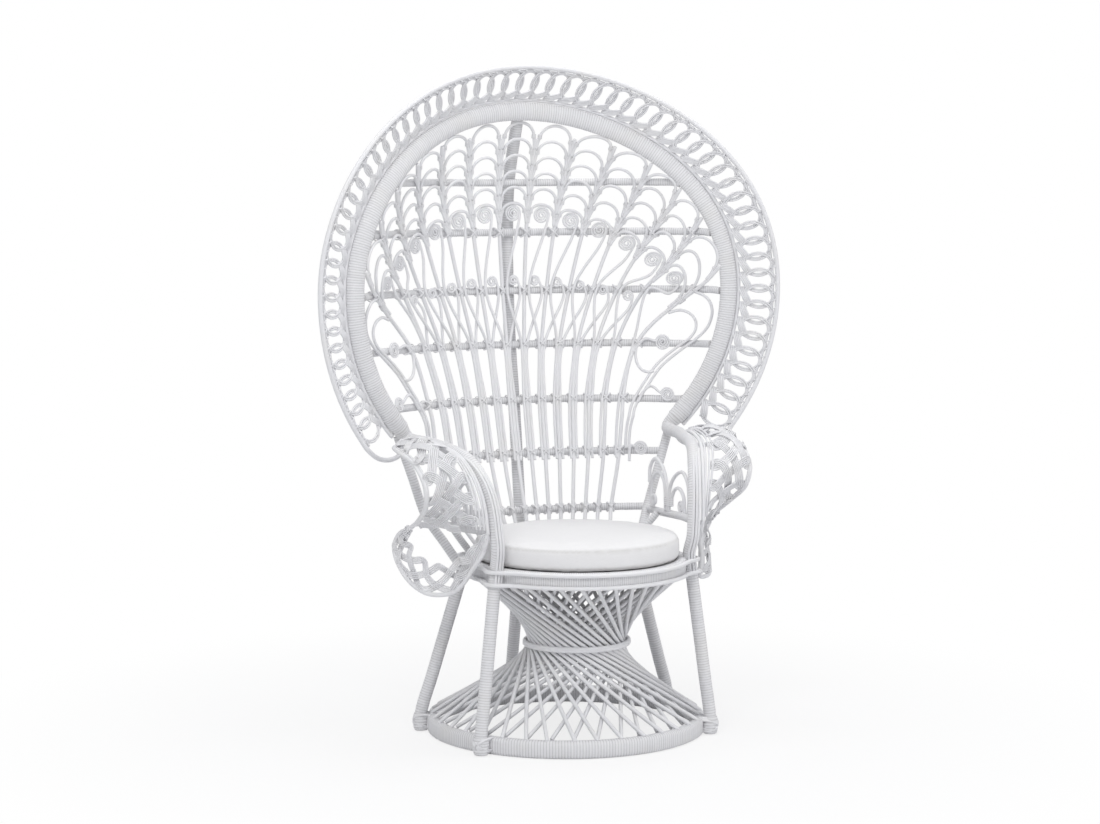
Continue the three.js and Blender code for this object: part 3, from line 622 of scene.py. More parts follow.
@dataclass(frozen=True)
class WovenDeck:
    """Plain whitewashed strips of the seat deck."""

    name: str
    light: tuple = colour(0.70, 0.695, 0.69)
    dark: tuple = colour(0.52, 0.50, 0.48)
    relief: float = 0.0002

    def make(self) -> bpy.types.Material:
        """Builds the material."""
        shader = Shader(self.name)
        flow = shader.attribute("flow", "Vector")
        streak = shader.noise(shader.stretch(flow, (40.0, 1100.0, 13.0)), 1.0, 4.0)
        share = streak.over(0.3, 0.8) * 0.6 + shader.part(flow, "Z") * 0.25
        surface = shader.blend(self.light, self.dark, share)
        return shader.finish({"Base Color": surface, "Roughness": 0.55 + streak * 0.2}, streak, self.relief)


@dataclass(frozen=True)
class PlainCloth:
    """Off-white woven cotton of the cushion, with painted shade darkening the seam creases."""

    name: str
    light: tuple = colour(0.85, 0.845, 0.85)
    dark: tuple = colour(0.74, 0.735, 0.74)
    # Colour of the painted shade in the seam creases.
    seam_shade: tuple = colour(0.55, 0.54, 0.52)
    thread: float = 0.0016
    relief: float = 0.00022

    def make(self) -> bpy.types.Material:
        """Builds the material."""
        shader = Shader(self.name)
        cloth = shader.attribute("flow", "Vector")
        # Where the seam creases lie, for the painted shade.
        seam_shade = shader.attribute("sunk", "Fac")
        place = shader.out("ShaderNodeTexCoord", name="Object")
        waves = []
        for axis in ("X", "Y"):
            turn = shader.part(cloth, axis) * (2 * math.pi / self.thread)
            waves.append(turn.math("SINE", turn, 0.0))
        weave = 0.5 + 0.5 * (waves[0] * waves[1])
        slub = shader.noise(shader.stretch(cloth, (90.0, 700.0, 1.0)), 1.0, 3.0)
        cloud = shader.noise(place, 7.0)
        shade = 0.28 * weave + slub.over(0.4, 0.8) * 0.3 + cloud.over(0.4, 0.75) * 0.18
        surface = shader.blend(self.light, self.dark, shade)
        # Painted shade: the seam creases are darkened in the base colour.
        surface = shader.blend(surface, self.seam_shade, seam_shade * 0.5)
        inputs = {
            "Base Color": surface,
            "Roughness": 0.86 + weave * 0.1,
            "Sheen Weight": 0.25,
            "Sheen Roughness": 0.5,
            "Specular IOR Level": 0.25,
        }
        return shader.finish(inputs, 0.7 * weave + 0.3 * slub, self.relief)


class Workshop:
    """Makes pieces from drafts, dresses them and sets them on the frame."""

    def __init__(self, frame: dict) -> None:
        """Prepares the finishes and finds the chair's axis in the frame."""
        self.nodes = frame["nodes"]
        low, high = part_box("base_ring")
        self.axis_y = (low.y + high.y) / 2
        self.finishes = {
            Stock.CANE: PaintedCane("painted_cane").make(),
            # The binding gets a stronger painted shade in its grooves.
            Stock.BINDING: PaintedCane("painted_binding", groove_shade_share=0.75, roughness=0.48).make(),
            Stock.DECK: WovenDeck("whitewashed_strips").make(),
            Stock.CLOTH: PlainCloth("off_white_cloth").make(),
        }
        self.seed = 0

    def draft(self) -> Draft:
        """An empty piece with its own irregularities."""
        self.seed += 1
        return Draft(self.seed)

    def named(self, *starts: str) -> list[str]:
        """Frame nodes whose names begin with one of the given words."""
        return [name for name in self.nodes if name.startswith(starts)]

    def fit(
        self,
        piece: bpy.types.Object,
        stock: Stock,
        nodes: list[str],
        body: str = "frame",
    ) -> bpy.types.Object:
        """Dresses a piece and sets it on its body in place of frame nodes.

        Args:
            piece: The piece.
            stock: What it is made from.
            nodes: Frame nodes that it stands for.
            body: Body that carries it.

        Returns:
            The piece.
        """
        piece.data.materials.append(self.finishes[stock])
        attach(piece, body)
        if nodes:
            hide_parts(*nodes)
        count = len(piece.data.vertices)
        LOG.info("%s: %d points, for %s", piece.name, count, ", ".join(nodes) or "no node")
        return piece

    def place(self, draft: Draft, name: str, stock: Stock, nodes: list[str]) -> bpy.types.Object:
        """Makes a draft's mesh and fits it."""
        return self.fit(draft.build(name, self.axis_y), stock, nodes)


@dataclass(frozen=True)
class Hoop:
    """Centre line of the back hoop: two half ellipses with one widest place, leaning back at the top."""

    half_width: float = 453.0
    middle: float = 973.0
    rise: float = 401.0
    drop: float = 449.0
    side_y: float = 104.0
    top_y: float = 250.0
    low_y: float = 142.0
    end: float = -42.0
    band_width: float = 42.0
    band_depth: float = 24.0

    def place(
        self,
        angle: float | Array,
        outward: float | Array = 0.0,
        forward: float | Array = 0.0,
    ) -> Array:
        """Places on or beside the centre line.

        Args:
            angle: Degrees round the hoop from its right side.
            outward: Distance away from the panel.
            forward: Distance towards the front.

        Returns:
            One place for each angle.
        """
        turn = np.radians(np.asarray(angle, float))
        sine, cosine = np.sin(turn), np.cos(turn)
        height = np.where(sine > 0, self.rise, self.drop)
        low = math.sin(math.radians(self.end))
        upper_lean = (self.top_y - self.side_y) * sine**3
        lower_lean = (self.low_y - self.side_y) * (sine / low) ** 2
        y = self.side_y + np.where(sine > 0, upper_lean, lower_lean) - forward
        normal = unit(np.stack([cosine / self.half_width, np.zeros_like(sine), sine / height], -1))
        centre = np.stack(np.broadcast_arrays(self.half_width * cosine, y, self.middle + height * sine), -1)
        return centre + normal * np.asarray(outward, float)[..., None]

    def run(self, start: float, outward: float = 0.0, forward: float = 0.0, spacing: float = 6.0) -> Array:
        """A line along the hoop between two mirrored angles."""
        angles = np.linspace(start, 180 - start, 400)
        return resample(self.place(angles, outward, forward), spacing)

    @property
    def low(self) -> Array:
        """The hoop's lower end on the right."""
        return self.place(self.end)


@dataclass(frozen=True)
class Panel:
    """Dished surface that the back's canes lie on."""

    hoop: Hoop
    rails: tuple = (1210.0, 1098.0, 965.0, 842.0, 716.0, 596.0, 468.0)
    dish_y: float = 308.0
    dish_height: float = 1090.0
    seat_y: float = 201.0
    top_y: float = 250.0
    power: float = 2.4
    post_foot: tuple = (248.0, 148.0, 399.0)
    post_lean: tuple = (-2.0, 24.0, -18.0)
    blend_height: float = 60.0
    pull: float = 24.0
    pull_height: float = 870.0
    pull_rise: float = 130.0
    pull_start: float = 0.5
    pull_span: float = 0.42
    pull_width: float = 300.0

    def post(self, height: float | Array) -> Array:
        """Places on the right rear arm post."""
        foot = np.array(self.post_foot)
        top = self.hoop.low + np.array(self.post_lean)
        share = (np.asarray(height, float) - foot[2]) / (top[2] - foot[2])
        return foot + (top - foot) * share[..., None]

    def edge(self, height: Array) -> tuple[Array, Array]:
        """The panel's half width and the depth of its edge at each height."""
        low = self.hoop.low
        post = self.post(np.maximum(height, self.rails[-1]))
        blend = np.clip((low[2] - height) / self.blend_height, 0, 1)
        reach = np.where(height > self.hoop.middle, self.hoop.rise, self.hoop.drop)
        sine = np.clip((height - self.hoop.middle) / reach, -0.995, 0.995)
        upper = self.hoop.place(np.degrees(np.arcsin(sine)))
        below = height < low[2]
        x = np.where(below, mix(low[0], post[..., 0], blend), upper[..., 0])
        y = np.where(below, mix(low[1], post[..., 1], blend), upper[..., 1])
        return x, y

    def depth_at(self, x: Array, height: Array) -> Array:
        """Y of the panel."""
        lower = (self.dish_y - self.seat_y) / (self.dish_height - self.rails[-1]) ** 2
        upper = (self.dish_y - self.top_y) / (self.hoop.middle + self.hoop.rise - self.dish_height) ** 2
        fall = np.where(height < self.dish_height, lower, upper)
        middle = self.dish_y - fall * (np.maximum(height, self.rails[-1]) - self.dish_height) ** 2
        edge_x, edge_y = self.edge(height)
        return middle - self.pulled(x, height) - (middle - edge_y) * (np.abs(x) / edge_x) ** self.power

    def pulled(self, x: Array, height: Array) -> Array:
        """Distance by which the panel's upper sides come forward to meet the hoop."""
        hoop = self.hoop
        out = np.hypot(x / hoop.half_width, np.maximum(height - hoop.middle, 0) / hoop.rise)
        share = np.clip((out - self.pull_start) / self.pull_span, 0, 1)
        share = share * np.clip((height - self.pull_height) / self.pull_rise, 0, 1)
        share = share * np.clip(np.abs(x) / self.pull_width, 0, 1)
        return self.pull * share**2 * (3 - 2 * share)

    def normal(self, x: float | Array, height: float | Array) -> Array:
        """Directions straight back from the panel."""
        x, height = np.broadcast_arrays(np.asarray(x, float), np.asarray(height, float))
        reach = 2.0
        slope_x = (self.depth_at(x + reach, height) - self.depth_at(x - reach, height)) / (2 * reach)
        slope_z = (self.depth_at(x, height + reach) - self.depth_at(x, height - reach)) / (2 * reach)
        return unit(np.stack([-slope_x, np.ones_like(slope_x), -slope_z], -1))

    def place(self, x: float | Array, height: float | Array, depth: float | Array = 0.0) -> Array:
        """Places on the panel, or behind it by a depth along its normal."""
        x, height = np.broadcast_arrays(np.asarray(x, float), np.asarray(height, float))
        surface = np.stack([x, self.depth_at(x, height), height], -1)
        return surface + self.normal(x, height) * np.asarray(depth, float)[..., None]

    def run(self, route: list, spacing: float = 6.0) -> Array:
        """A smooth line on the panel through places given as x, height and depth."""
        line = bend(route, spacing)
        return self.place(line[:, 0], line[:, 1], line[:, 2])


@dataclass
class BaseStand:
    """Wrapped base ring, the two lays of the hourglass and the binding round its waist."""

    radius: float = 310.0
    height: float = 39.0
    width: float = 26.0
    pitch: float = 6.2
    canes: int = 36
    cane: float = 4.5
    foot_radius: float = 302.0
    head_radius: float = 228.0
    head_height: float = 361.0
    waist_radius: float = 105.0
    lay_step: float = 16.0
    waist_step: float = 12.0
    waist_height: float = 209.0
    waist_cane: float = 4.5
    seat_y: float = SEAT_Y

    def build(self, shop: Workshop) -> None:
        """Makes the stand's pieces."""
        ring = shop.draft()
        turn = np.linspace(0, 360, 360, endpoint=False)
        circle = polar(self.radius - self.width / 2, turn, self.height / 2)
        ring.wrapped(circle, soft_box(self.height / 2, self.width / 2, 9.0), self.pitch, 0.55, True, UPWARD)
        shop.place(ring, "base_ring_bound", Stock.BINDING, ["base_ring"])
        self.lay(shop, "outer", 0.0, 0.0, -1)
        self.lay(shop, "inner", self.lay_step, self.waist_step, 1)
        waist = shop.draft()
        turn = np.linspace(150, 150 + 2 * 360 + 12, 150)
        climb = np.linspace(-1, 1, len(turn)) * self.waist_cane
        reach = self.waist_radius + self.cane + self.waist_cane + 1.0
        line = polar(reach, turn, self.waist_height + climb, self.seat_y)
        waist.cane(line, self.waist_cane, 10, reference=UPWARD)
        shop.place(waist, "waist_binding_turns", Stock.CANE, ["waist_binding"])

    def lay(self, shop: Workshop, name: str, step: float, waist_step: float, lean: int) -> None:
        """Makes one lay of canes that all lean the same way round.

        Args:
            shop: Where the piece is made.
            name: Name of the lay.
            step: Distance inside the outer lay at the rings.
            waist_step: Distance inside the outer lay at the waist.
            lean: Way round that the canes lean.
        """
        foot, head = self.foot_radius - step, self.head_radius - step
        waist = self.waist_radius - waist_step
        low_turn = lean * math.degrees(math.acos(waist / foot))
        turn = low_turn + lean * math.degrees(math.acos(waist / head))
        draft = shop.draft()
        for angle in np.arange(self.canes) * 360 / self.canes:
            slip = draft.random.normal(0, 0.45, 2)
            start = polar(foot, angle + slip[0], self.height - 1.0)
            neck = polar(waist, angle + low_turn, self.waist_height, self.seat_y)
            finish = polar(head, angle + turn + slip[1], self.head_height, self.seat_y)
            knots = [mix(start, neck, share) for share in (0.0, 0.45, 0.86, 1.0)]
            knots += [mix(neck, finish, share) for share in (0.14, 0.55, 1.0)]
            line = bend(knots, 14.0)
            share = np.linspace(0, 1, len(line))[:, None]
            sway = draft.random.normal(0, 0.9) * np.sin(np.pi * share * draft.random.uniform(1, 3))
            aside = unit(np.cross(finish - start, UPWARD))
            draft.cane(line + aside * sway, self.cane)
        shop.place(draft, f"hourglass_{name}_lay", Stock.CANE, shop.named(f"base_lattice_{name}"))


@dataclass(frozen=True)
class LegLine:
    """Where a leg stands and where it meets the seat ring, as degrees from the front."""

    foot: float
    seat: float


@dataclass
class Legs:
    """Wrapped legs, the front pair running on as arm bows, and the rear post behind the back."""

    panel: Panel
    pole: float = 14.0
    pitch: float = 5.8
    groove: float = 0.5
    foot_radius: float = 322.9
    base_height: float = 39.0
    seat_radius: float = 248.0
    seat_top: float = 396.0
    seat_y: float = SEAT_Y
    front: LegLine = LegLine(57.5, 67.7)
    rear: LegLine = LegLine(110.0, 126.7)
    foot_clear: float = 2.0
    post_depth: float = 33.8
    post_seat_y: float = 266.0
    binding_height: float = 40.0
    binding: float = 17.6
    bow_line: tuple = (
        (231, -166, 440), (234, -165, 476), (238, -159, 523), (244, -146, 563), (254, -123, 598),
        (268, -90, 626), (280, -50, 638), (288, -5, 643), (300, 50, 648),
    )
    side_cane: float = 3.1
    side_canes: tuple = ((-8.0, -14.6), (-1.5, -16.8), (5.0, -16.0))

    def place(self, leg: LegLine, height: float) -> Array:
        """A place on a leg's centre line: upright beside the base ring, then leaning in."""
        foot = polar(self.foot_radius, leg.foot, min(height, self.base_height))
        share = max(0.0, height - self.base_height) / (self.seat_top - self.base_height)
        return mix(foot, polar(self.seat_radius, leg.seat, self.seat_top, self.seat_y), share)

    def bow(self) -> Array:
        """The right front leg's line from the seat, forward, up and back to the hoop's lower end."""
        low = self.panel.hoop.low
        down = unit(low - self.panel.hoop.place(self.panel.hoop.end + 3))
        route = [self.place(self.front, self.seat_top + 8), *np.array(self.bow_line, float)]
        return np.array(route + [low + down * 26.0, low - down * 4.0])

    def build(self, shop: Workshop) -> None:
        """Makes the legs and the post."""
        section = oval(self.pole, self.pole, 20)
        for side in Side:
            front = shop.draft()
            heights = (self.foot_clear, self.base_height, 130.0, 260.0, 360.0)
            straight = [self.place(self.front, height) for height in heights]
            line = bend(np.vstack([straight, self.bow()]), 5.0)
            front.wrapped(side.mirror(line), section, self.pitch, self.groove)
            self.bind_foot(front, side, self.place(self.front, 0.0))
            self.bind_hoop(front, side)
            self.add_side_canes(front, side)
            shop.place(front, f"front_leg_and_bow_{side.label}", Stock.BINDING, [f"front_leg_{side.label}"])
            rear = shop.draft()
            stops = (self.foot_clear, self.base_height, 130.0, 260.0, self.seat_top - 2)
            run = bend([self.place(self.rear, z) for z in stops], 6.0)
            rear.wrapped(side.mirror(run), section, self.pitch, self.groove)
            self.bind_foot(rear, side, self.place(self.rear, 0.0))
            shop.place(rear, f"rear_leg_bound_{side.label}", Stock.BINDING, [f"rear_leg_{side.label}"])
        self.build_post(shop, section)

    def add_side_canes(self, draft: Draft, side: Side) -> None:
        """Adds the thin canes that run down the front of a bow to the lower seat trim."""
        low = [self.place(self.front, z) for z in (362.0, 380.0)]
        line = bend(np.vstack([low, self.bow()[:-2]]), 6.0)
        for x, y in self.side_canes:
            shift = np.array([x, y, 0.0])
            draft.cane(side.mirror(line + shift), self.side_cane)

    def build_post(self, shop: Workshop, section: Array) -> None:
        """Makes the rear post from the base ring to the top of the hoop."""
        rails = self.panel.rails
        upper = [self.panel.place(0, rails[i], self.post_depth) for i in (4, 3, 2, 1, 0)]
        foot_y = self.foot_radius + 1.8
        low = [[0.0, foot_y, height] for height in (self.foot_clear, self.base_height)]
        low.append([0.0, self.post_seat_y, self.seat_top])
        knee = [[0.0, mix(self.post_seat_y, upper[0][1], 0.55), rails[5]]]
        top = self.panel.hoop.place(90, -self.panel.hoop.band_width / 2 + 6, -28.0)
        post = shop.draft()
        post.wrapped(bend(np.vstack([low, knee, upper, [top]]), 5.0), section, self.pitch, self.groove)
        self.bind_foot(post, Side.RIGHT, np.array([0.0, foot_y, 0.0]))
        shop.place(post, "rear_post_bound", Stock.BINDING, ["rear_post"])

    def bind_foot(self, draft: Draft, side: Side, foot: Array) -> None:
        """Adds the thicker binding that holds an upright foot to the base ring."""
        stops = np.linspace(self.foot_clear + 0.3, self.binding_height, 12)
        line = foot + UPWARD * stops[:, None]
        swell = np.interp(stops, [stops[0], stops[2], stops[-3], stops[-1]], [0.86, 1.0, 1.0, 0.9])
        draft.wrapped(side.mirror(line), oval(self.binding, self.binding, 18), 6.6, 0.8, scale=swell)
        outward = side.mirror(unit(foot))
        across = np.cross(UPWARD, outward)
        centre = side.mirror(foot + UPWARD * self.binding_height * 0.58)
        for shift in (-7.0, 0.0, 7.0):
            reach = Lashing(16.0, 13.0, self.binding + 0.6, 40.0, 2.6, 1.2, 26)
            place = centre + across * shift * 0.3 + UPWARD * shift * 0.4
            draft.lash(place, across, UPWARD, -outward, reach)

    def bind_hoop(self, draft: Draft, side: Side) -> None:
        """Adds the wide binding where the bow meets the hoop's lower end."""
        hoop = self.panel.hoop
        upper = hoop.place(np.linspace(hoop.end, hoop.end + 4.5, 8))
        line = np.vstack([bend(self.bow(), 4.0)[-9:-1], upper])
        section = oval(15.2, 18.0, 20)
        share = np.linspace(0, 1, len(line))
        swell = np.interp(share, [0.0, 0.15, 0.5, 0.85, 1.0], [0.84, 0.9, 1.06, 1.2, 1.2])
        draft.wrapped(side.mirror(line), section, 5.6, 0.6, reference=BACKWARD, scale=swell)


@dataclass
class Seat:
    """Wrapped seat ring with two trim canes and the woven deck inside it."""

    legs: Legs
    top: float = 396.0
    height: float = 36.0
    radius: float = 240.0
    width: float = 22.0
    pitch: float = 4.8
    trim: float = 4.6
    swell_width: float = 7.4
    middle_y: float = SEAT_Y
    strip_pitch: float = 15.0
    strip: float = 6.6

    def build(self, shop: Workshop) -> None:
        """Makes the seat's pieces."""
        ring = shop.draft()
        turn = np.linspace(0, 360, 360, endpoint=False)
        circle = polar(self.radius - self.width / 2, turn, self.top - self.height / 2, self.middle_y)
        ring.wrapped(circle, soft_box(self.height / 2, self.width / 2, 4.0), self.pitch, 0.5, True, UPWARD)
        shop.place(ring, "seat_ring_bound", Stock.BINDING, ["seat_apron"])
        heights = {"upper": self.top - self.trim, "lower": self.top - self.height + self.trim}
        for name, height in heights.items():
            draft = shop.draft()
            draft.cane(self.trim_line(height), self.trim, 10, True, UPWARD)
            shop.place(draft, f"seat_trim_cane_{name}", Stock.CANE, [f"seat_trim_{name}"])
        self.weave(shop)

    def trim_line(self, height: float) -> Array:
        """The line of a trim cane, which swells outwards round each leg."""
        angle = np.linspace(0, 360, 360, endpoint=False)
        flat = self.radius + self.trim
        reach = np.full_like(angle, flat)
        for leg in (self.legs.front, self.legs.rear):
            x, y, _ = self.legs.place(leg, height) - np.array([0.0, self.middle_y, 0.0])
            swell = math.hypot(x, y) + self.legs.pole + self.trim - flat
            for at in (math.degrees(math.atan2(x, -y)), math.degrees(math.atan2(-x, -y))):
                away = np.abs((angle - at + 180) % 360 - 180)
                reach = reach + swell * np.exp(-((away / self.swell_width) ** 2))
        return polar(reach, angle, height, self.middle_y)

    def weave(self, shop: Workshop) -> None:
        """Makes the deck from flat strips that pass over and under each other."""
        draft = shop.draft()
        reach = self.radius - self.width - 1.0
        level = self.top - 5.0
        count = int(reach // self.strip_pitch)
        for way in (0, 1):
            for i in range(-count, count + 1):
                offset = i * self.strip_pitch
                half = math.sqrt(reach**2 - offset**2)
                stops = np.linspace(-half, half, max(4, round(2 * half / (self.strip_pitch / 3))))
                wave = np.cos(np.pi * stops / self.strip_pitch) * (1 if (i + way) % 2 else -1)
                across = np.full_like(stops, offset)
                flat = (stops, across) if way == 0 else (across, stops)
                line = np.stack([flat[0], flat[1] + self.middle_y, level + 1.5 * wave], -1)
                draft.tube(line, soft_box(0.9, self.strip, 0.6), False, UPWARD)
        shop.place(draft, "seat_deck_woven", Stock.DECK, ["seat_deck"])


@dataclass
class Cushion:
    """Loose round cushion, stuffed by a short cloth simulation."""

    radius: float = 230.0
    middle_y: float = -62.0
    low: float = 396.6
    side: float = 50.0
    crown: float = 9.0
    edge: float = 13.0
    voxel: float = 6.0
    pressure: float = 4.0
    frames: int = 20
    cap: float = 6.0
    limit: float = 235.5
    seam_width: float = 3.2
    seam_depth: float = 1.5

    def outline(self) -> Array:
        """Radius and height from the middle of the underside round to the middle of the top."""
        turn = np.linspace(0, np.pi / 2, 7)
        low_edge = np.stack(
            [
                self.radius - self.edge * 0.5 * (1 - np.sin(turn)),
                self.edge * 0.5 * (1 - np.cos(turn)),
            ],
            -1,
        )
        high_edge = np.stack(
            [
                self.radius - self.edge * (1 - np.cos(turn)),
                self.side - self.edge * (1 - np.sin(turn)),
            ],
            -1,
        )
        inward = np.linspace(1, 0, 12)[1:]
        top_radius = (self.radius - self.edge) * inward
        top = np.stack([top_radius, self.side + self.crown * (1 - inward**2)], -1)
        return np.vstack([[[0.0, 0.0]], low_edge, high_edge, top])

    def start(self) -> bpy.types.Object:
        """The cushion before it is stuffed, as an even mesh."""
        outline = self.outline()[1:-1]
        count = 96
        angle = np.linspace(0, 2 * np.pi, count, endpoint=False)
        rings = [
            np.stack([r * np.sin(angle), -r * np.cos(angle), np.full(count, height)], -1)
            for r, height in outline
        ]
        points = np.vstack(rings + [[[0, 0, 0]], [[0, 0, self.side + self.crown]]]) * MM
        faces = []
        for i in range(len(outline) - 1):
            for k in range(count):
                step = (k + 1) % count
                faces.append((i * count + k, i * count + step, (i + 1) * count + step, (i + 1) * count + k))
        under, over = len(outline) * count, len(outline) * count + 1
        last = (len(outline) - 1) * count
        faces += [((k + 1) % count, k, under) for k in range(count)]
        faces += [(last + k, last + (k + 1) % count, over) for k in range(count)]
        mesh = bpy.data.meshes.new("cushion_start")
        mesh.from_pydata(points.tolist(), [], faces)
        raw = bpy.data.objects.new("cushion_start", mesh)
        bpy.context.scene.collection.objects.link(raw)
        remesh = raw.modifiers.new("even_mesh", "REMESH")
        remesh.mode = "VOXEL"
        remesh.voxel_size = self.voxel * MM
        graph = bpy.context.evaluated_depsgraph_get()
        even = bpy.data.meshes.new_from_object(raw.evaluated_get(graph))
        bpy.data.objects.remove(raw)
        piece = bpy.data.objects.new("cushion_cover", even)
        bpy.context.scene.collection.objects.link(piece)
        return piece

    def stuff(self, piece: bpy.types.Object) -> None:
        """Lets air pressure fill the cover, and keeps how far each point moves within the cap."""
        count = len(piece.data.vertices)
        rest = np.empty(count * 3)
        piece.data.vertices.foreach_get("co", rest)
        cloth = piece.modifiers.new("stuffing", "CLOTH")
        cloth.settings.use_pressure = True
        cloth.settings.uniform_pressure_force = self.pressure
        cloth.settings.effector_weights.gravity = 0.0
        scene = bpy.context.scene
        for step in range(1, self.frames + 1):
            scene.frame_set(step)
        graph = bpy.context.evaluated_depsgraph_get()
        filled = np.empty(count * 3)
        piece.evaluated_get(graph).data.vertices.foreach_get("co", filled)
        piece.modifiers.remove(cloth)
        scene.frame_set(1)
        moved = (filled - rest).reshape(-1, 3)
        reach = np.linalg.norm(moved, axis=1, keepdims=True)
        moved *= np.minimum(1.0, self.cap * MM / np.maximum(reach, 1e-9))
        piece.data.vertices.foreach_set("co", rest + moved.ravel())

    def sew(self, piece: bpy.types.Object, axis_y: float) -> None:
        """Presses the cover flat on the seat, draws the seams in and marks the cloth's run.

        Args:
            piece: The stuffed cover.
            axis_y: The chair axis's place in the frame, in metres.
        """
        count = len(piece.data.vertices)
        points = np.empty(count * 3)
        piece.data.vertices.foreach_get("co", points)
        points = points.reshape(-1, 3) / MM
        reach = np.hypot(points[:, 0], points[:, 1])
        angle = np.arctan2(points[:, 0], -points[:, 1])
        points[:, 2] = np.maximum(points[:, 2], 0.0)
        squeeze = np.minimum(1.0, self.limit / np.maximum(reach, 1e-6))
        points[:, :2] *= squeeze[:, None]
        pucker = 0.5 * np.sin(46 * angle) + 0.5 * np.sin(31 * angle + 1.3)
        seams = np.zeros(count)
        outer = reach > self.radius - self.edge
        for seam_height in (self.edge * 0.35, self.side - self.edge * 0.55):
            above = points[:, 2] - seam_height
            near = np.exp(-((above / self.seam_width) ** 2)) * outer
            fold = np.exp(-((above / (4 * self.seam_width)) ** 2)) * outer
            inset = self.seam_depth * near + 0.35 * fold * pucker
            points[:, :2] *= (1 - inset / np.maximum(reach, 1.0))[:, None]
            seams = np.maximum(seams, near)
        flank = reach > self.radius - self.edge * 0.6
        cloth = np.where(
            flank[:, None],
            np.stack([angle * self.radius, points[:, 2], np.zeros(count)], -1),
            np.stack([points[:, 0], points[:, 1], np.zeros(count)], -1),
        )
        points += np.array([0.0, self.middle_y + axis_y / MM, self.low])
        piece.data.vertices.foreach_set("co", (points * MM).ravel())
        flow = piece.data.attributes.new("flow", "FLOAT_VECTOR", "POINT")
        flow.data.foreach_set("vector", (cloth * MM).ravel())
        # The seam mask goes into "sunk", where the cloth darkens it as painted shade in the seam creases.
        piece.data.attributes.new("sunk", "FLOAT", "POINT").data.foreach_set("value", seams)
        piece.data.polygons.foreach_set("use_smooth", np.ones(len(piece.data.polygons), bool))
        piece.data.update()

    def build(self, shop: Workshop) -> None:
        """Makes the cushion and sets it on its own body."""
        piece = self.start()
        self.stuff(piece)
        self.sew(piece, shop.axis_y)
        smooth = piece.modifiers.new("smooth_cover", "SUBSURF")
        smooth.levels = 1
        smooth.render_levels = 1
        shop.fit(piece, Stock.CLOTH, ["cushion"], "cushion")


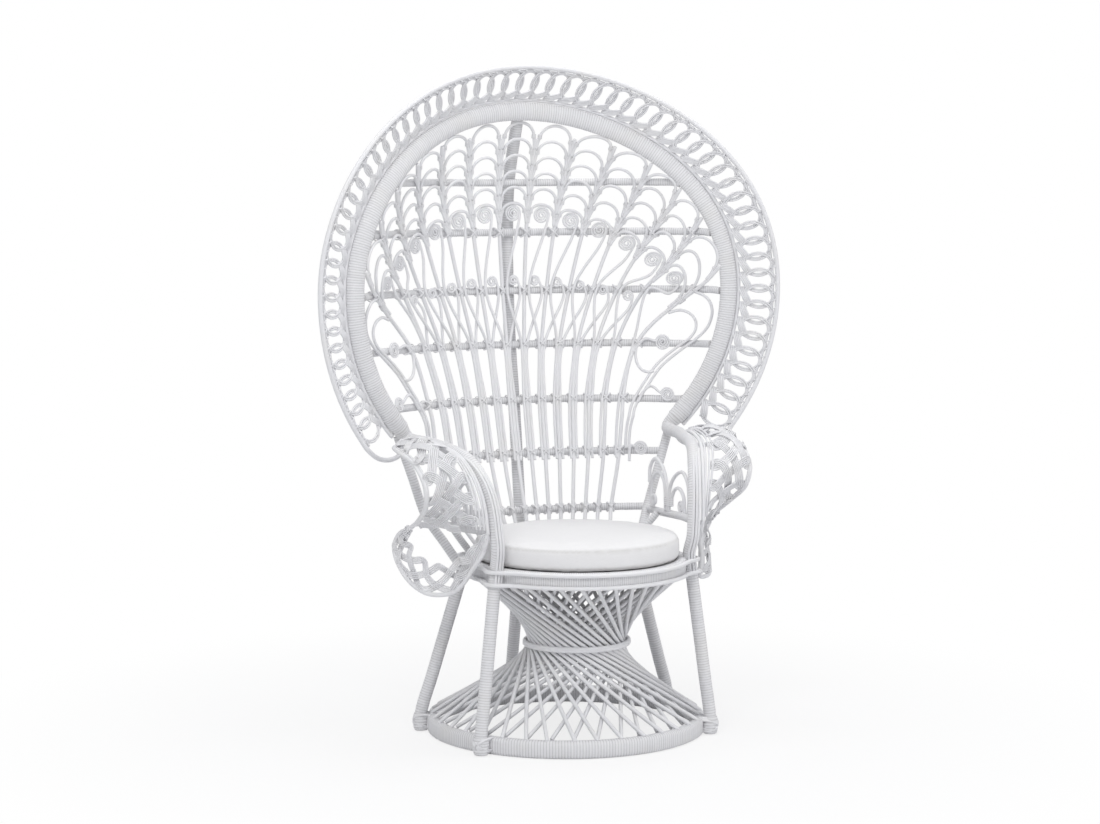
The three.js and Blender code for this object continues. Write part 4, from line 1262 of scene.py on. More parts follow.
@dataclass
class HoopBorder:
    """Wrapped hoop, its trim cane, the looped lace border and the outer rim."""

    hoop: Hoop
    pitch: float = 5.6
    trim: float = 4.5
    rim_out: float = 98.0
    rim_forward: float = 56.0
    rim_end: float = -38.0
    rim: float = 5.4
    rim_tail: tuple = ((-41.5, 90.0, 52.0), (-44.5, 68.0, 40.0), (-46.0, 40.0, 22.0), (-44.8, 21.0, 6.0))
    inner_rim: float = 2.7
    loop_pitch: float = 36.0
    loop_half_width: float = 25.0
    loop_half_height: float = 34.0
    loop_middle: float = 47.0
    strand: float = 2.35
    weave_lift: float = 2.5
    plait_rows: tuple = (-1.5, -0.5, 0.5, 1.5)
    plait_step: float = 4.4
    plait_reach: float = 44.0
    plait_top: float = 25.0
    plait_fall: float = 17.0
    plait_lift: float = 5.6
    inner_rim_gap: float = 11.0
    tie_margin: float = 8.0
    tie_slant: float = 9.0
    tie_length: float = 13.0
    tie_section: tuple = (1.1, 1.9)

    def __post_init__(self) -> None:
        """Works out the lace sheet between the trim and the rim."""
        self.trim_out = self.hoop.band_width / 2 + 0.4 + self.trim
        self.span = math.hypot(self.rim_out - self.trim_out, self.rim_forward)
        self.angles = np.linspace(self.rim_end, 180 - self.rim_end, 900)
        self.reach = lengths(self.sheet(self.angles, self.loop_middle))

    def sheet(self, angle: Array, across: float | Array, lift: float | Array = 0.0) -> Array:
        """Places on the lace sheet.

        Args:
            angle: Degrees round the hoop.
            across: Distance from the trim cane towards the rim.
            lift: Distance in front of the sheet.

        Returns:
            One place for each angle.
        """
        out = self.rim_out - self.trim_out
        across, lift = np.asarray(across), np.asarray(lift)
        outward = self.trim_out + (out * across - self.rim_forward * lift) / self.span
        forward = (self.rim_forward * across + out * lift) / self.span
        return self.hoop.place(angle, outward, forward)

    def lace(self, run: Array, across: Array, lift: Array) -> Array:
        """Places on the sheet by distance along the border instead of angle."""
        return self.sheet(np.interp(run, self.reach, self.angles), across, lift)

    def build(self, shop: Workshop) -> None:
        """Makes the hoop and its border."""
        hoop = self.hoop
        band = shop.draft()
        section = oval(hoop.band_depth / 2, hoop.band_width / 2, 24)
        band.wrapped(hoop.run(hoop.end, spacing=4.0), section, self.pitch, 0.9, reference=BACKWARD)
        shop.place(band, "back_hoop_bound", Stock.BINDING, ["back_hoop"])
        trim = shop.draft()
        trim.cane(hoop.run(hoop.end, self.trim_out), self.trim, 10, reference=BACKWARD)
        shop.place(trim, "hoop_trim_cane", Stock.CANE, ["hoop_trim"])
        rim = shop.draft()
        tail = np.array([hoop.place(*step) for step in self.rim_tail])
        main = hoop.run(self.rim_end, self.rim_out, self.rim_forward, 30.0)
        line = bend(np.vstack([tail[::-1], main, Side.LEFT.mirror(tail)]), 6.0)
        rim.cane(line, self.rim, 12, reference=BACKWARD)
        shop.place(rim, "border_rim_cane", Stock.CANE, ["back_rim"])
        self.build_lace(shop)

    def build_lace(self, shop: Workshop) -> None:
        """Makes the loops, and the plait at their feet with the ties to the rim."""
        total = self.reach[-1]
        end = self.loop_half_width + 2
        count = round((total - 2 * self.loop_half_width) / self.loop_pitch)
        places = np.linspace(end, total - end, count)
        loops = shop.draft()
        self.add_loops(loops, places)
        shop.place(loops, "border_loops", Stock.CANE, ["lace_front"])
        feet = shop.draft()
        self.add_plait(feet, places)
        self.add_ties(feet)
        shop.place(feet, "border_plait_and_ties", Stock.CANE, ["lace_rear"])

    def add_loops(self, draft: Draft, places: Array) -> None:
        """Adds the overlapping loops, each of two strands that pass over and under the next loop."""
        turn = np.linspace(0, 2 * np.pi, 40, endpoint=False)
        for middle in places:
            tone = draft.random.random()
            for inset in (-self.strand, self.strand):
                run = middle + (self.loop_half_width + inset) * np.cos(turn)
                across = self.loop_middle + (self.loop_half_height + inset) * np.sin(turn)
                run = np.clip(run, 0, self.reach[-1])
                line = self.lace(run, across, self.weave_lift * np.cos(turn))
                draft.tube(line, oval(self.strand, self.strand, 6), True, BACKWARD, tone=tone)

    def add_plait(self, draft: Draft, places: Array) -> None:
        """Adds the slanting strands at the loops' feet."""
        share = np.linspace(0, 1, 12)
        ease = share * share * (3 - 2 * share)
        lift = -1.0 + self.plait_lift * np.sin(np.pi * np.clip(share * 1.1, 0, 1))
        for middle in places:
            run = np.clip(middle - self.plait_reach / 2 + self.plait_reach * share, 0, self.reach[-1])
            for row in self.plait_rows:
                across = self.plait_top - self.plait_fall * ease + self.plait_step * row
                draft.cane(self.lace(run, across, lift), self.strand, 6, reference=BACKWARD)

    def add_ties(self, draft: Draft) -> None:
        """Adds the thin cane inside the rim and the ties between the two."""
        around = np.linspace(self.rim_end + 0.4, 179.6 - self.rim_end, 420)
        inner = self.sheet(around, self.span - self.inner_rim_gap)
        draft.cane(inner, self.inner_rim, 8, reference=BACKWARD)
        twist = np.linspace(0, 1, 10)
        across = self.span - self.tie_length + self.tie_length * twist
        lift = self.rim * np.sin(np.pi * (twist * 1.2 - 0.1)) + 1.0
        for middle in np.arange(self.tie_margin, self.reach[-1] - self.tie_margin, self.loop_pitch / 2):
            run = middle + self.tie_slant * (twist - 0.5)
            draft.tube(self.lace(run, across, lift), oval(*self.tie_section, 6), reference=BACKWARD)


@dataclass
class BackPanel:
    """Rails, fanned stems with their curls, and columns of nested arches."""

    panel: Panel
    stems: int = 14
    stem: float = 4.5
    cane: float = 3.5
    rail: float = 8.6
    rail_depth: float = 12.2
    rail_pitch: float = 5.4
    stem_pitch: tuple = (80.0, 64.0, 54.0, 43.0, 37.0, 34.5, 29.5)
    seat_top: float = 396.0
    stub: float = 18.0
    big_curl: float = 19.8
    small_curl: float = 13.0
    small_spread: float = 0.98
    small_sag: float = 40.0
    small_over: float = 23.0
    small_turns: float = 2.2
    curl_cane: float = 2.4
    curl_width: float = 406.0
    curl_rise: float = 300.0
    curl_middle: float = 842.0
    curl_step: float = 10.0
    column_step: float = 11.8
    outer_lean: float = 0.27
    arch_spacing: float = 37.0
    arch_round: float = 0.78
    hood_round: float = 0.62
    tail: float = 26.0
    stem_bow: float = 0.9
    top_lift: float = 0.6
    head_drop: float = 42.0
    head_step: float = 14.0
    beside: float = 7.4
    past: float = 8.9
    front_depth: float = -5.8
    foot_share: float = 0.84
    foot_radius: float = 240.4
    outer_shoulder: tuple = (366.0, 941.0)
    outer_head: tuple = (430.0, 1024.0)
    side_arch: tuple = (
        (245, 598), (252, 653), (262, 692), (278, 720), (297, 749), (325, 789), (366, 828), (394, 853),
        (414, 878), (421, 899), (422, 920), (415, 942), (403, 955), (388, 962),
    )
    side_hood: tuple = (
        (238, 598), (244, 653), (254, 694), (270, 724), (289, 754), (318, 795), (361, 836), (381, 853),
        (393, 873), (394, 893), (384, 910), (365, 918), (343, 911),
    )
    side_loop: tuple = ((283, 848), (276, 826), (275, 800), (284, 780), (298, 774), (309, 777))
    side_curls: tuple = (
        ((330, 843), 18.5, ((271, 820), (281, 836), (297, 851))),
        ((329, 724), 17.0, ((270, 705), (284, 730), (300, 742))),
        ((270, 600), 16.5, ((243, 570), (246, 592), (250, 606))),
    )

    def __post_init__(self) -> None:
        """Works out the middles of the fan."""
        self.middle_gap = (self.stems - 2) / 2
        self.middle_stem = (self.stems - 1) / 2

    def curl(self, column: float) -> Array:
        """Middle of a big curl, as x and height."""
        turn = math.radians(self.curl_step * (column - self.middle_gap))
        height = self.curl_middle + self.curl_rise * math.cos(turn)
        return np.array([self.curl_width * math.sin(turn), height])

    def landing(self, slot: float, back: float = 0.0) -> Array:
        """Place on the hoop's inner edge above a column, as x and height."""
        hoop = self.panel.hoop
        angle = 90 - self.column_step * (slot - self.middle_gap)
        return hoop.place(angle, -hoop.band_width / 2 - back)[[0, 2]]

    def stem_x(self, stem: int, row: int) -> float:
        """A stem's X at a rail."""
        return self.stem_pitch[row] * (stem - self.middle_stem)

    def stem_x_at(self, stem: int, height: float) -> float:
        """A stem's X at any height between the rails."""
        heights = self.panel.rails[::-1]
        return float(np.interp(height, heights, [self.stem_x(stem, row) for row in range(6, -1, -1)]))

    def shoulder(self, stem: int) -> Array:
        """Place where a stem meets the arches: between two big curls, or lower at the outermost stems."""
        if stem in (0, self.stems - 1):
            x, height = self.outer_shoulder
            return np.array([x if stem else -x, height])
        return (self.curl(stem - 1) + self.curl(stem)) / 2

    def hoop_end(self, stem: int) -> Array:
        """Place on the hoop that a stem points to, as x and height."""
        if stem in (0, self.stems - 1):
            x, height = self.outer_head
            return np.array([x if stem else -x, height])
        return self.landing(stem - 0.5, 2.2)

    def climb(self, stem: int, share: float) -> Array:
        """X and height on a stem's upper part, at a share of the way from its shoulder to the hoop."""
        bow = np.array([self.stem_bow * (stem - self.middle_stem), 0.0])
        return mix(self.shoulder(stem), self.hoop_end(stem), share) + bow * 4 * share * (1 - share)

    def stem_route(self, stem: int) -> Array:
        """A stem's x and height from the lowest rail to the hoop, or to the arches under its middle."""
        rails = self.panel.rails
        rows = (6, 5, 4, 3) if stem in (0, self.stems - 1) else (6, 5, 4, 3, 2)
        route = [[self.stem_x(stem, row), rails[row]] for row in rows]
        reach = float(np.linalg.norm(self.hoop_end(stem) - self.shoulder(stem)))
        drop = max(0.0, self.head_drop - self.head_step * abs(stem - self.middle_stem))
        return np.array(route + [self.climb(stem, share) for share in np.linspace(0, 1 - drop / reach, 5)])

    def stem_line(self, stem: int) -> Array:
        """A stem's centre line on the panel."""
        route = bend(self.stem_route(stem), 7.0)
        return self.panel.place(route[:, 0], route[:, 1])

    def stem_foot(self, stem: int) -> Array:
        """Where a stem stands on the rear edge of the seat ring, outside the cushion."""
        x = self.stem_x(stem, 6) * self.foot_share
        return np.array([x, SEAT_Y + math.sqrt(self.foot_radius**2 - x**2), self.seat_top + 3.0])

    def crossing(self, stem: int, height: float) -> float:
        """X where a stem passes a height."""
        route = bend(self.stem_route(stem), 5.0)
        return float(np.interp(height, route[:, 1], route[:, 0]))

    def spiral(self, tip: Array, way: Array, radius: float, turns: float, hand: int = 1) -> Array:
        """A flat spiral on the panel, entered from its right side, or from its left if the hand is -1.

        Args:
            tip: Middle of the spiral, as x and height.
            way: Direction of its top, as x and height.
            radius: Outer radius of the curl.
            turns: Number of turns.
            hand: Way round.

        Returns:
            Points of the spiral, from outside to inside.
        """
        centre = self.panel.place(*tip)
        ahead = unit(self.panel.place(*(tip + way)) - centre)
        right = np.array([way[1], -way[0]])
        aside = unit(self.panel.place(*(tip + right)) - centre) * hand
        turn = np.linspace(0, 2 * np.pi * turns, int(24 * turns))
        outer = radius - self.curl_cane
        reach = np.interp(turn, [0.0, np.pi, turn[-1]], [outer, outer, 0.9 * self.curl_cane])
        return centre + (reach * np.cos(turn))[:, None] * aside + (reach * np.sin(turn))[:, None] * ahead

    def add_curl_cane(self, draft: Draft, route: list, spiral: Array) -> None:
        """Adds a cane that runs along a route on the panel and ends in a spiral."""
        lead = np.array(route, float)
        start = self.panel.place(lead[:, 0], lead[:, 1], lead[:, 2])
        line = bend(np.vstack([start, spiral]), 2.6)
        straight = lengths(start)[-1]
        reach = lengths(line)
        thin = self.curl_cane / self.cane
        scale = np.interp(reach, [0.0, straight, straight + 40.0, reach[-1]], [1.0, 1.0, thin, thin * 0.9])
        draft.tube(line, oval(self.cane, self.cane, 8), scale=scale)

    def add_big_curl(self, draft: Draft, column: int) -> None:
        """Adds the cane that climbs beside a stem, crosses the gap and ends in a big curl."""
        rails = self.panel.rails
        tip = self.curl(column)
        way = unit(self.landing(column) - tip)
        right = np.array([way[1], -way[0]])
        owner = column + 1
        route = [[self.stem_x(owner, 5) - self.beside, rails[5] - self.stub, -1.2]]
        route += [[self.stem_x(owner, row) - self.beside, rails[row], -1.2] for row in (5, 4, 3)]
        third = rails[2] + 4
        upper = np.array([self.stem_x_at(column, third) + self.past, third, self.front_depth])
        if column == 0:
            lift = rails[3] + 64
            upper = np.array([self.stem_x_at(1, lift) - self.past, lift, self.front_depth])
        low = np.array(route[-1])
        first = mix(low, upper, 0.2)
        first[2] = self.front_depth
        enter = tip - way * (self.big_curl + 14) + right * self.big_curl * 0.55
        route += [first, upper, [*enter, self.front_depth / 2]]
        self.add_curl_cane(draft, route, self.spiral(tip, way, self.big_curl, 3.3))

    def add_small_curl(self, draft: Draft, column: int) -> None:
        """Adds the cane that crosses behind the next stem and ends in a small curl over the third rail."""
        rails = self.panel.rails
        x = self.stem_pitch[2] * self.small_spread * (column - self.middle_gap)
        sag = self.small_sag * (x / (self.stem_pitch[2] * (self.middle_gap - 1))) ** 2
        tip = np.array([x, rails[2] + self.small_over - sag])
        route = [[self.stem_x(column, 5) + self.beside, rails[5] - self.stub, 0.0]]
        route += [[self.stem_x(column, row) + self.beside, rails[row], 0.0] for row in (5, 4, 3)]
        under = tip[1] - self.small_curl * 2
        route.append([self.stem_x_at(column + 1, under) - self.past - 1, under, 1.0])
        curl = self.spiral(tip, np.array([0.0, 1.0]), self.small_curl, self.small_turns)
        self.add_curl_cane(draft, route, curl)

    def add_side_canes(self, draft: Draft, side: Side) -> None:
        """Adds the canes beside an outermost stem: two arches under the hoop, a loop and three curls."""
        sign = side.value
        for line, depth in ((self.side_arch, -0.5), (self.side_hood, 0.5), (self.side_loop, -1.0)):
            draft.cane(self.panel.run([[sign * x, z, depth] for x, z in line]), self.cane)
        for tip, radius, lead in self.side_curls:
            route = [[sign * x, z, -2.0] for x, z in lead]
            place = np.array([sign * tip[0], tip[1]])
            way = unit(np.array([0.25 * sign, 1.0]))
            self.add_curl_cane(draft, route, self.spiral(place, way, radius, 3.3, -sign))

    def build(self, shop: Workshop) -> None:
        """Makes the stems, the rails and the arches."""
        for stem in range(self.stems):
            draft = shop.draft()
            upper = self.stem_line(stem)
            knots = np.vstack([self.stem_foot(stem), upper[0], upper[3::4], upper[-1]])
            draft.cane(bend(knots, 7.0), self.stem, 10)
            if stem == 0:
                self.add_side_canes(draft, Side.LEFT)
            if stem == self.stems - 1:
                self.add_side_canes(draft, Side.RIGHT)
            if stem > 0:
                self.add_big_curl(draft, stem - 1)
            if 0 < stem < self.stems - 2:
                self.add_small_curl(draft, stem)
            self.bind_stem(draft, stem)
            shop.place(draft, f"stem_{stem + 1:02d}_with_curls", Stock.CANE, [f"spoke_{stem + 1:02d}"])
        for row in range(len(self.panel.rails)):
            self.build_rail(shop, row)
        for column in range(self.stems - 1):
            self.build_column(shop, column)

    def bind_stem(self, draft: Draft, stem: int) -> None:
        """Adds the short binding at a stem's shoulder."""
        line = self.stem_line(stem)
        route = bend(self.stem_route(stem), 7.0)
        shoulder = int(np.argmin(np.linalg.norm(route - self.shoulder(stem), axis=1)))
        facing = self.panel.normal(*self.shoulder(stem))
        grip = resample(line[shoulder - 1 : shoulder + 2], 4.0)
        draft.wrapped(grip, oval(6.0, 7.4, 14), 4.0, 0.6, reference=facing)

    def build_rail(self, shop: Workshop, row: int) -> None:
        """Makes one wrapped rail and the crossed ties that hold the stems to it."""
        height = self.panel.rails[row]
        hoop = self.panel.hoop
        ends = []
        if height < hoop.low[2]:
            end = float(self.panel.post(height)[0]) - 8.0
        else:
            x, y = (float(value) for value in self.panel.edge(np.array(height)))
            end = x - hoop.band_width / 2 - 18.0
            ends = [[x - hoop.band_width / 2 + 2.0, y + 5.0, height]]
        stops = np.linspace(-end, end, 40)
        draft = shop.draft()
        line = self.panel.place(stops, np.full_like(stops, height), self.rail_depth)
        if ends:
            line = np.vstack([Side.LEFT.mirror(np.array(ends)), line, ends])
        line = bend(line, 4.0)
        draft.wrapped(line, oval(self.rail, self.rail, 14), self.rail_pitch, 0.45, reference=UPWARD)
        for stem in range(self.stems):
            x = self.crossing(stem, height)
            if abs(x) < end - 6 and row > 0:
                self.tie(draft, x, height, row)
        shop.place(draft, f"rail_{row + 1}_bound", Stock.BINDING, [f"rail_{row + 1}"])

    def tie(self, draft: Draft, x: float, height: float, row: int) -> None:
        """Adds a crossed tie where a stem passes a rail."""
        centre = self.panel.place(x, height)
        inward = self.panel.normal(x, height)
        across = unit(self.panel.place(x + 2, height) - centre)
        upward = np.cross(across, inward) * -1.0
        width = 11.5 if row < 6 else 8.0
        reach = Lashing(width, 11.0, self.stem + 1.6, self.rail_depth + self.rail + 0.6, 1.9, 1.0)
        draft.lash(centre, across, upward, inward, reach)

    def leg(self, stem: int, share: float, inward: int, reach: float = 1.0) -> Array:
        """Place of an arch's leg beside a stem.

        Args:
            stem: Number of the stem.
            share: Share of the way from the stem's shoulder to the hoop.
            inward: Side of the stem, 1 or -1.
            reach: Distance from the stem, as a share of a leg that touches it.

        Returns:
            X and height.
        """
        place = self.climb(stem, share)
        across = self.climb(stem + inward, share)
        aside = (self.stem + self.cane - 0.6) * reach
        return mix(place, across, aside / np.linalg.norm(across - place))

    def leg_end(self, stem: int, share: float, inward: int, drop: float) -> list:
        """Two places under an arch's foot, where its leg slips in against the stem."""
        return [self.leg(stem, share - drop * (1 - up), inward, 0.35 + 0.5 * up) for up in (0.0, 0.6)]

    def build_column(self, shop: Workshop, column: int) -> None:
        """Makes one column of nested arches from its big curl up to the hoop."""
        lean = {0: -self.outer_lean, self.stems - 2: self.outer_lean}.get(column, 0.0)
        low, high = self.curl(column), self.landing(column + lean)
        length = float(np.linalg.norm(high - low))
        hood = self.big_curl + 0.4 + self.cane
        crown = length - self.cane - 0.4
        count = max(2, int((crown - hood) / self.arch_spacing + 0.5)) + 1
        draft = shop.draft()
        for i in range(count):
            apex_at = mix(hood, crown, i / (count - 1))
            share = apex_at / length
            width = np.linalg.norm(self.leg(column, share, 1) - self.leg(column + 1, share, -1))
            rise = width / 2 * (self.arch_round if i else self.hood_round)
            foot = (apex_at - rise) / length
            feet = [foot, foot]
            if i == count - 1 and abs(column - self.middle_gap) > 1:
                feet[int(column > self.middle_gap)] += self.top_lift * rise / length
            left, right = self.leg(column, feet[0], 1), self.leg(column + 1, feet[1], -1)
            apex = mix(low, high, share)
            middle = (left + right) / 2
            turn = np.linspace(0, np.pi, 19)[:, None]
            arch = middle + (left - middle) * np.cos(turn) + (apex - middle) * np.sin(turn)
            drop = self.tail / length
            near = self.leg_end(column, feet[0], 1, drop)
            far = self.leg_end(column + 1, feet[1], -1, drop)
            route = [*near, *arch, *far[::-1]]
            route = np.array(route)
            depth = np.full(len(route), -0.8)
            depth[[0, 1, -2, -1]] = [-3.0, -1.6, -1.6, -3.0]
            line = bend(self.panel.place(route[:, 0], route[:, 1], depth), 4.0)
            draft.cane(line, self.cane)
            self.tie_foot(draft, column, feet[0], 1)
            self.tie_foot(draft, column + 1, feet[1], -1)
        shop.place(draft, f"arch_column_{column + 1:02d}", Stock.CANE, [f"scallop_{column + 1:02d}"])

    def tie_foot(self, draft: Draft, stem: int, share: float, inward: int) -> None:
        """Adds the small binding that holds an arch's foot to its stem."""
        lower, upper = self.leg(stem, share - 0.012, inward), self.leg(stem, share + 0.03, inward)
        ends = np.array([lower, upper])
        line = self.panel.place(ends[:, 0], ends[:, 1], -0.4)
        section = oval(self.cane + 1.7, self.cane + 1.9, 10)
        draft.wrapped(line, section, 3.0, 0.5, reference=self.panel.normal(*lower))


@dataclass
class Arms:
    """Rear arm posts, side rails with their lyres of bent cane, and the rolled lace flares."""

    panel: Panel
    legs: Legs
    post: float = 10.5
    post_bend: float = 474.0
    foot_height: float = 358.0
    brace: float = 8.0
    brace_line: tuple = ((252, 58, 466), (222, 70, 428), (186, 82, 386))
    rail: float = 9.0
    rail_height: float = 474.0
    cane: float = 4.2
    curl_cane: float = 3.0
    rim: float = 5.0
    strand: float = 1.8
    strands: int = 5
    strand_gap: float = 4.1
    lyre_x: float = 258.0
    loops: tuple = (
        ((16, 474), (20, 535), (42, 572), (78, 588), (104, 566), (108, 530)),
        ((26, 474), (34, 540), (58, 558), (86, 546), (100, 514), (96, 474)),
        ((10, 474), (4, 530), (-24, 560), (-58, 570), (-82, 548), (-88, 510), (-82, 474)),
        ((0, 500), (-18, 526), (-40, 532), (-62, 516), (-66, 474)),
    )
    curls: tuple = ((84, 492), (-50, 492))
    curl_radius: float = 16.0
    curl_turns: float = 2.2
    lyre_lean: float = 0.02
    grips: tuple = (13.0, -1.0, 22.0)
    grip_heights: tuple = (487.0, 505.0)
    upper_outer: tuple = (
        (338, 80, 641), (378, 62, 643), (397, -10, 640), (392, -95, 622), (386, -138, 585),
        (379, -132, 545), (371, -80, 508), (370, -15, 476),
    )
    upper_inner: tuple = (
        (338, 80, 641), (318, 48, 650), (307, 0, 654), (299, -48, 647), (287, -92, 634),
        (273, -128, 602), (263, -151, 565), (257, -165, 523), (254, -171, 474),
    )
    lower_outer: tuple = (
        (370, -15, 476), (378, 45, 452), (379, 70, 415), (368, 28, 362), (340, -28, 332), (300, -66, 335),
        (286, -92, 353), (272, -125, 393), (256, -152, 436), (254, -168, 476),
    )
    lower_inner: tuple = ((370, -15, 476), (332, -66, 474), (292, -120, 476), (254, -168, 476))
    upper_swell: tuple = (14.0, -12.0, 20.0)
    lower_swell: tuple = (6.0, 22.0, -16.0)

    def build(self, shop: Workshop) -> None:
        """Makes both arms."""
        for side in Side:
            self.build_side(shop, side)
            self.build_flare(shop, side)

    def lyre_at(self, y: float) -> float:
        """X of the lyre's leaning plane."""
        return self.lyre_x - self.lyre_lean * y

    def build_side(self, shop: Workshop, side: Side) -> None:
        """Makes the rear post, which bends in to the seat ring, the side rail and the lyre."""
        draft = shop.draft()
        foot = self.legs.place(self.legs.rear, self.foot_height)
        knee = self.panel.post(self.post_bend)
        top = self.panel.hoop.low[2] + self.panel.post_lean[2]
        route = [foot, mix(foot, knee, 0.5), knee]
        route += [self.panel.post(z) for z in (mix(self.post_bend, top, 0.5), top)]
        draft.wrapped(side.mirror(bend(route, 4.0)), oval(self.post, self.post, 16), 6.0, 0.5)
        brace = bend(self.brace_line, 4.0)
        draft.wrapped(side.mirror(brace), oval(self.brace, self.brace, 14), 6.0, 0.5)
        rail = [
            self.panel.post(self.rail_height - 10) + np.array([0.0, -self.post, 0.0]),
            [264.0, 40.0, self.rail_height - 7],
            [256.0, -60.0, self.rail_height - 2],
            np.array(self.legs.bow_line[1], float),
        ]
        section = oval(self.rail, self.rail, 14)
        draft.wrapped(side.mirror(bend(rail, 4.0)), section, 5.8, 0.45, reference=UPWARD)
        for loop in self.loops:
            line = [[self.lyre_at(y), y, z] for y, z in loop]
            draft.cane(side.mirror(bend(line, 5.0)), self.cane)
        for y, z in self.curls:
            turn = np.linspace(-np.pi / 2, 2 * np.pi * self.curl_turns, 64)
            reach = np.linspace(self.curl_radius - self.curl_cane, 2.2, len(turn))
            x = np.full_like(turn, self.lyre_at(y))
            line = [x, y + reach * np.cos(turn), z + reach * np.sin(turn)]
            draft.tube(side.mirror(np.stack(line, -1)), oval(self.curl_cane, self.curl_cane, 8))
        for y in self.grips:
            grip = [[self.lyre_at(y), y, z] for z in self.grip_heights]
            draft.wrapped(side.mirror(np.array(grip)), oval(5.6, 6.4, 12), 4.5, 0.5)
        shop.place(draft, f"arm_side_with_lyre_{side.label}", Stock.BINDING, [f"arm_side_{side.label}"])

    def build_flare(self, shop: Workshop, side: Side) -> None:
        """Makes a flare's edge cane and the looped bands that fill its upper and lower lobe."""
        draft = shop.draft()
        edge = bend(np.vstack([self.upper_outer, self.lower_outer[1:]]), 5.0)
        draft.cane(side.mirror(edge), self.rim, 10)
        draft.cane(side.mirror(bend(self.upper_inner, 5.0)), self.rim * 0.8, 10)
        upper = FlareLobe(self.upper_outer, self.upper_inner, self.upper_swell)
        lower = FlareLobe(self.lower_outer, self.lower_inner, self.lower_swell, 0.012, 0.31, 0.24)
        lines = upper.bands(2.5, (0.0, 1 / 3, 2 / 3), self.strands, self.strand_gap)
        lines += lower.bands(2.2, (0.1, 0.43, 0.77), self.strands - 1, self.strand_gap)
        for line in lines:
            draft.cane(side.mirror(line), self.strand, 6)
        run = np.linspace(0.02, 0.98, 120)
        for across in (0.06, 0.86, 0.91, 0.96):
            draft.cane(side.mirror(upper.place(run, np.full_like(run, across))), self.strand * 1.3, 8)
        shop.place(draft, f"arm_flare_lace_{side.label}", Stock.CANE, [f"arm_lace_{side.label}"])


@dataclass(frozen=True)
class FlareLobe:
    """A lace surface between two edges of an arm flare, swollen in the middle."""

    outer: tuple
    inner: tuple
    swell: tuple
    loop: float = 0.05
    middle: float = 0.47
    width: float = 0.38
    lift: float = 4.2

    def place(self, run: Array, across: Array) -> Array:
        """Places by the share of the way along the edges and the share across from the outer edge."""
        outer, inner = bend(self.outer, 3.0), bend(self.inner, 3.0)
        first = along(outer, run * lengths(outer)[-1])
        last = along(inner, run * lengths(inner)[-1])
        bulge = 4 * across * (1 - across) * np.sin(np.pi * np.clip(run, 0, 1)) ** 0.5
        return first + (last - first) * across[:, None] + np.array(self.swell) * bulge[:, None]

    def bands(self, waves: float, phases: tuple, strands: int, gap: float) -> list[Array]:
        """Lines of the bands that swing from edge to edge and loop back on themselves there.

        Args:
            waves: Swings of a band along the lobe.
            phases: Start of each band, as a share of a swing.
            strands: Strands in a band.
            gap: Distance between strands.

        Returns:
            One line for each strand.
        """
        lines = []
        share = np.linspace(0, 1, 260)
        for number, phase in enumerate(phases):
            wave = 2 * np.pi * (waves * share + phase)
            run = np.clip(share - self.loop * np.sin(2 * wave), 0.015, 0.985)
            across = self.middle + self.width * np.cos(wave)
            centre = self.place(run, across)
            course = unit(np.gradient(centre, axis=0))
            ahead = self.place(np.clip(run + 0.01, 0, 1), across)
            ahead = ahead - self.place(np.clip(run - 0.01, 0, 1), across)
            over = self.place(run, across + 0.01) - self.place(run, across - 0.01)
            facing = unit(np.cross(ahead, over))
            aside = unit(np.cross(facing, course))
            lifted = centre + facing * (self.lift * np.sin(3 * wave + 2 * number))[:, None]
            lines += [lifted + aside * (k - (strands - 1) / 2) * gap for k in range(strands)]
        return lines


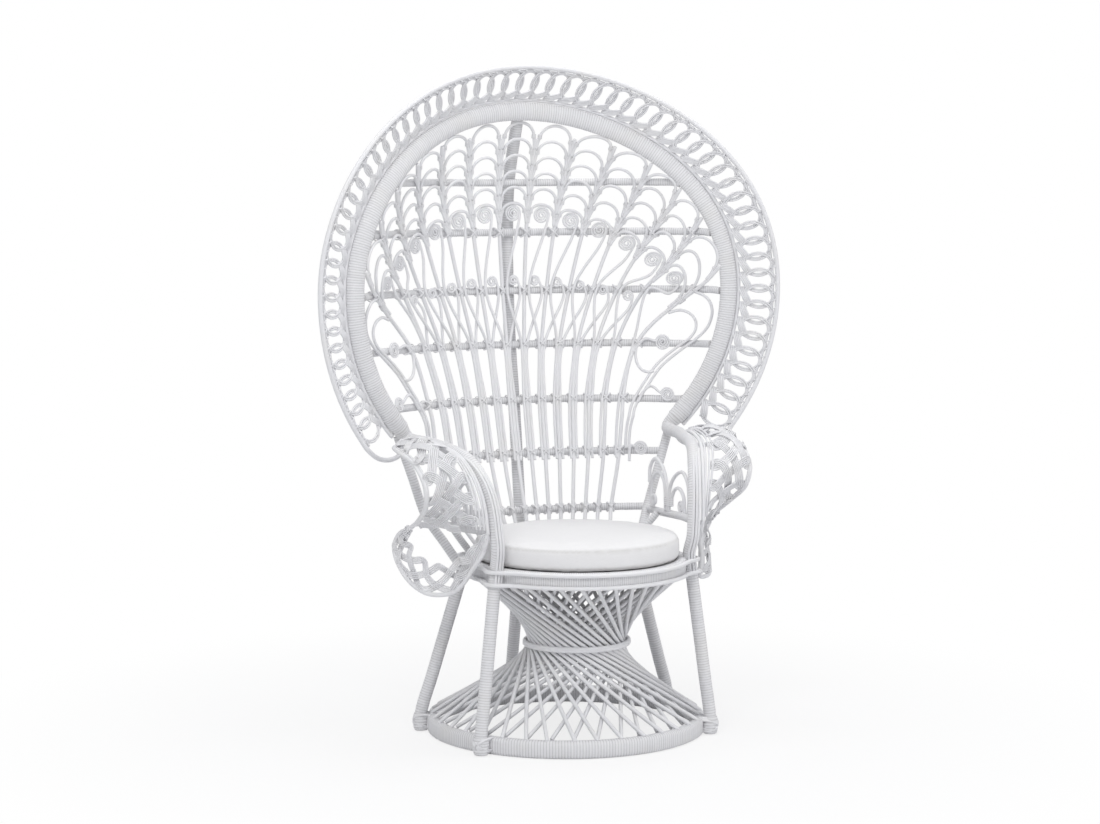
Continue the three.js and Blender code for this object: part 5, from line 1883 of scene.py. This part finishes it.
@dataclass
class Studio:
    """Pale floor, soft light, white background and the camera at the photograph's place."""

    camera_turn: float = -23.5
    camera_away: float = 5780.0
    camera_height: float = 1270.0
    camera_pitch: float = -0.0965
    camera_yaw: float = 0.35
    focal_pixels: float = 2630.0
    ambient: float = 0.50
    floor_radius: float = 9.0

    def build(self, axis_y: float) -> None:
        """Makes the camera, the lights, the world and the floor."""
        self.build_camera(axis_y)
        self.build_world()
        self.build_lights()
        self.build_floor()
        bpy.context.scene.view_settings.view_transform = "Standard"

    def build_camera(self, axis_y: float) -> None:
        """Sets the camera where the photograph was taken from."""
        turn = math.radians(self.camera_turn)
        aim = math.radians(self.camera_turn + self.camera_yaw)
        away = self.camera_away
        place = np.array([math.sin(turn) * away, -math.cos(turn) * away, self.camera_height]) * MM
        level = math.cos(self.camera_pitch)
        ahead = Vector((-math.sin(aim) * level, math.cos(aim) * level, math.sin(self.camera_pitch)))
        data = bpy.data.cameras.new("photo_view")
        data.sensor_fit = "HORIZONTAL"
        data.sensor_width = SENSOR_WIDTH
        data.lens = self.focal_pixels / PHOTO_WIDTH * SENSOR_WIDTH
        camera = bpy.data.objects.new("photo_view", data)
        camera.location = Vector(place) + Vector((0.0, axis_y, 0.0))
        camera.rotation_euler = ahead.to_track_quat("-Z", "Y").to_euler()
        bpy.context.scene.collection.objects.link(camera)
        bpy.context.scene.camera = camera

    def build_world(self) -> None:
        """Sets even light all round, with plain white where the background is seen."""
        world = bpy.data.worlds.new("soft_room")
        world.use_nodes = True
        tree = world.node_tree
        tree.nodes.clear()
        path = tree.nodes.new("ShaderNodeLightPath")
        seen = tree.nodes.new("ShaderNodeMath")
        seen.operation = "MAXIMUM"
        tree.links.new(path.outputs["Is Camera Ray"], seen.inputs[0])
        tree.links.new(path.outputs["Is Transmission Ray"], seen.inputs[1])
        shown = tree.nodes.new("ShaderNodeMath")
        shown.operation = "MAXIMUM"
        tree.links.new(seen.outputs[0], shown.inputs[0])
        tree.links.new(path.outputs["Is Glossy Ray"], shown.inputs[1])
        room = tree.nodes.new("ShaderNodeBackground")
        room.inputs["Color"].default_value = colour(0.97, 0.98, 1.0)
        room.inputs["Strength"].default_value = self.ambient
        white = tree.nodes.new("ShaderNodeBackground")
        white.inputs["Color"].default_value = colour(1.0, 1.0, 1.0)
        white.inputs["Strength"].default_value = 1.0
        both = tree.nodes.new("ShaderNodeMixShader")
        tree.links.new(shown.outputs[0], both.inputs[0])
        tree.links.new(room.outputs[0], both.inputs[1])
        tree.links.new(white.outputs[0], both.inputs[2])
        out = tree.nodes.new("ShaderNodeOutputWorld")
        tree.links.new(both.outputs[0], out.inputs["Surface"])
        bpy.context.scene.world = world

    def build_lights(self) -> None:
        """Hangs three wide soft lamps."""
        lamps = (
            ("key_lamp", (-2.0, -3.0, 3.9), 2.4, 84.0),
            ("fill_lamp", (3.0, -2.6, 2.4), 2.8, 34.0),
            ("top_lamp", (0.1, 0.3, 4.2), 2.4, 46.0),
        )
        aim = Vector((0.0, 0.0, 0.75))
        for name, place, size, power in lamps:
            data = bpy.data.lights.new(name, "AREA")
            data.shape = "DISK"
            data.size = size
            data.energy = power
            lamp = bpy.data.objects.new(name, data)
            lamp.location = place
            lamp.rotation_euler = (aim - Vector(place)).to_track_quat("-Z", "Y").to_euler()
            bpy.context.scene.collection.objects.link(lamp)

    def build_floor(self) -> None:
        """Lays a round pale floor that keeps the chair's shadow and fades to white far out."""
        angle = np.linspace(0, 2 * np.pi, 64, endpoint=False)
        points = np.stack([np.cos(angle), np.sin(angle), np.zeros(64)], -1) * self.floor_radius
        mesh = bpy.data.meshes.new("floor")
        mesh.from_pydata((points - np.array([0, 0, 0.0006])).tolist(), [], [list(range(64))])
        floor = bpy.data.objects.new("floor", mesh)
        bpy.context.scene.collection.objects.link(floor)
        shader = Shader("pale_floor")
        place = shader.out("ShaderNodeTexCoord", name="Object")
        away = shader.out("ShaderNodeVectorMath", {"operation": "LENGTH"}, {0: place}, "Value")
        seen = shader.out("ShaderNodeLightPath", name="Is Camera Ray")
        matt = shader.out("ShaderNodeBsdfDiffuse", None, {"Color": colour(0.86, 0.86, 0.87)})
        white = shader.out("ShaderNodeEmission", None, {"Strength": 1.0})
        share = seen * (0.78 + 0.22 * away.over(0.5, 1.5))
        both = shader.out("ShaderNodeMixShader", None, {0: share, 1: matt, 2: white})
        shader.node("ShaderNodeOutputMaterial", None, {"Surface": both})
        mesh.materials.append(shader.material)


def main() -> None:
    """Builds the chair's sub-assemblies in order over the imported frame."""
    logging.basicConfig(level=logging.INFO, format="%(name)s: %(message)s")
    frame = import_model()
    shop = Workshop(frame)
    Studio().build(shop.axis_y)
    hoop = Hoop()
    panel = Panel(hoop)
    legs = Legs(panel)
    back = (HoopBorder(hoop), BackPanel(panel))
    for assembly in (BaseStand(), legs, Seat(legs), *back, Arms(panel, legs), Cushion()):
        assembly.build(shop)
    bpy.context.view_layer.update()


if __name__ == "__main__":
    main()
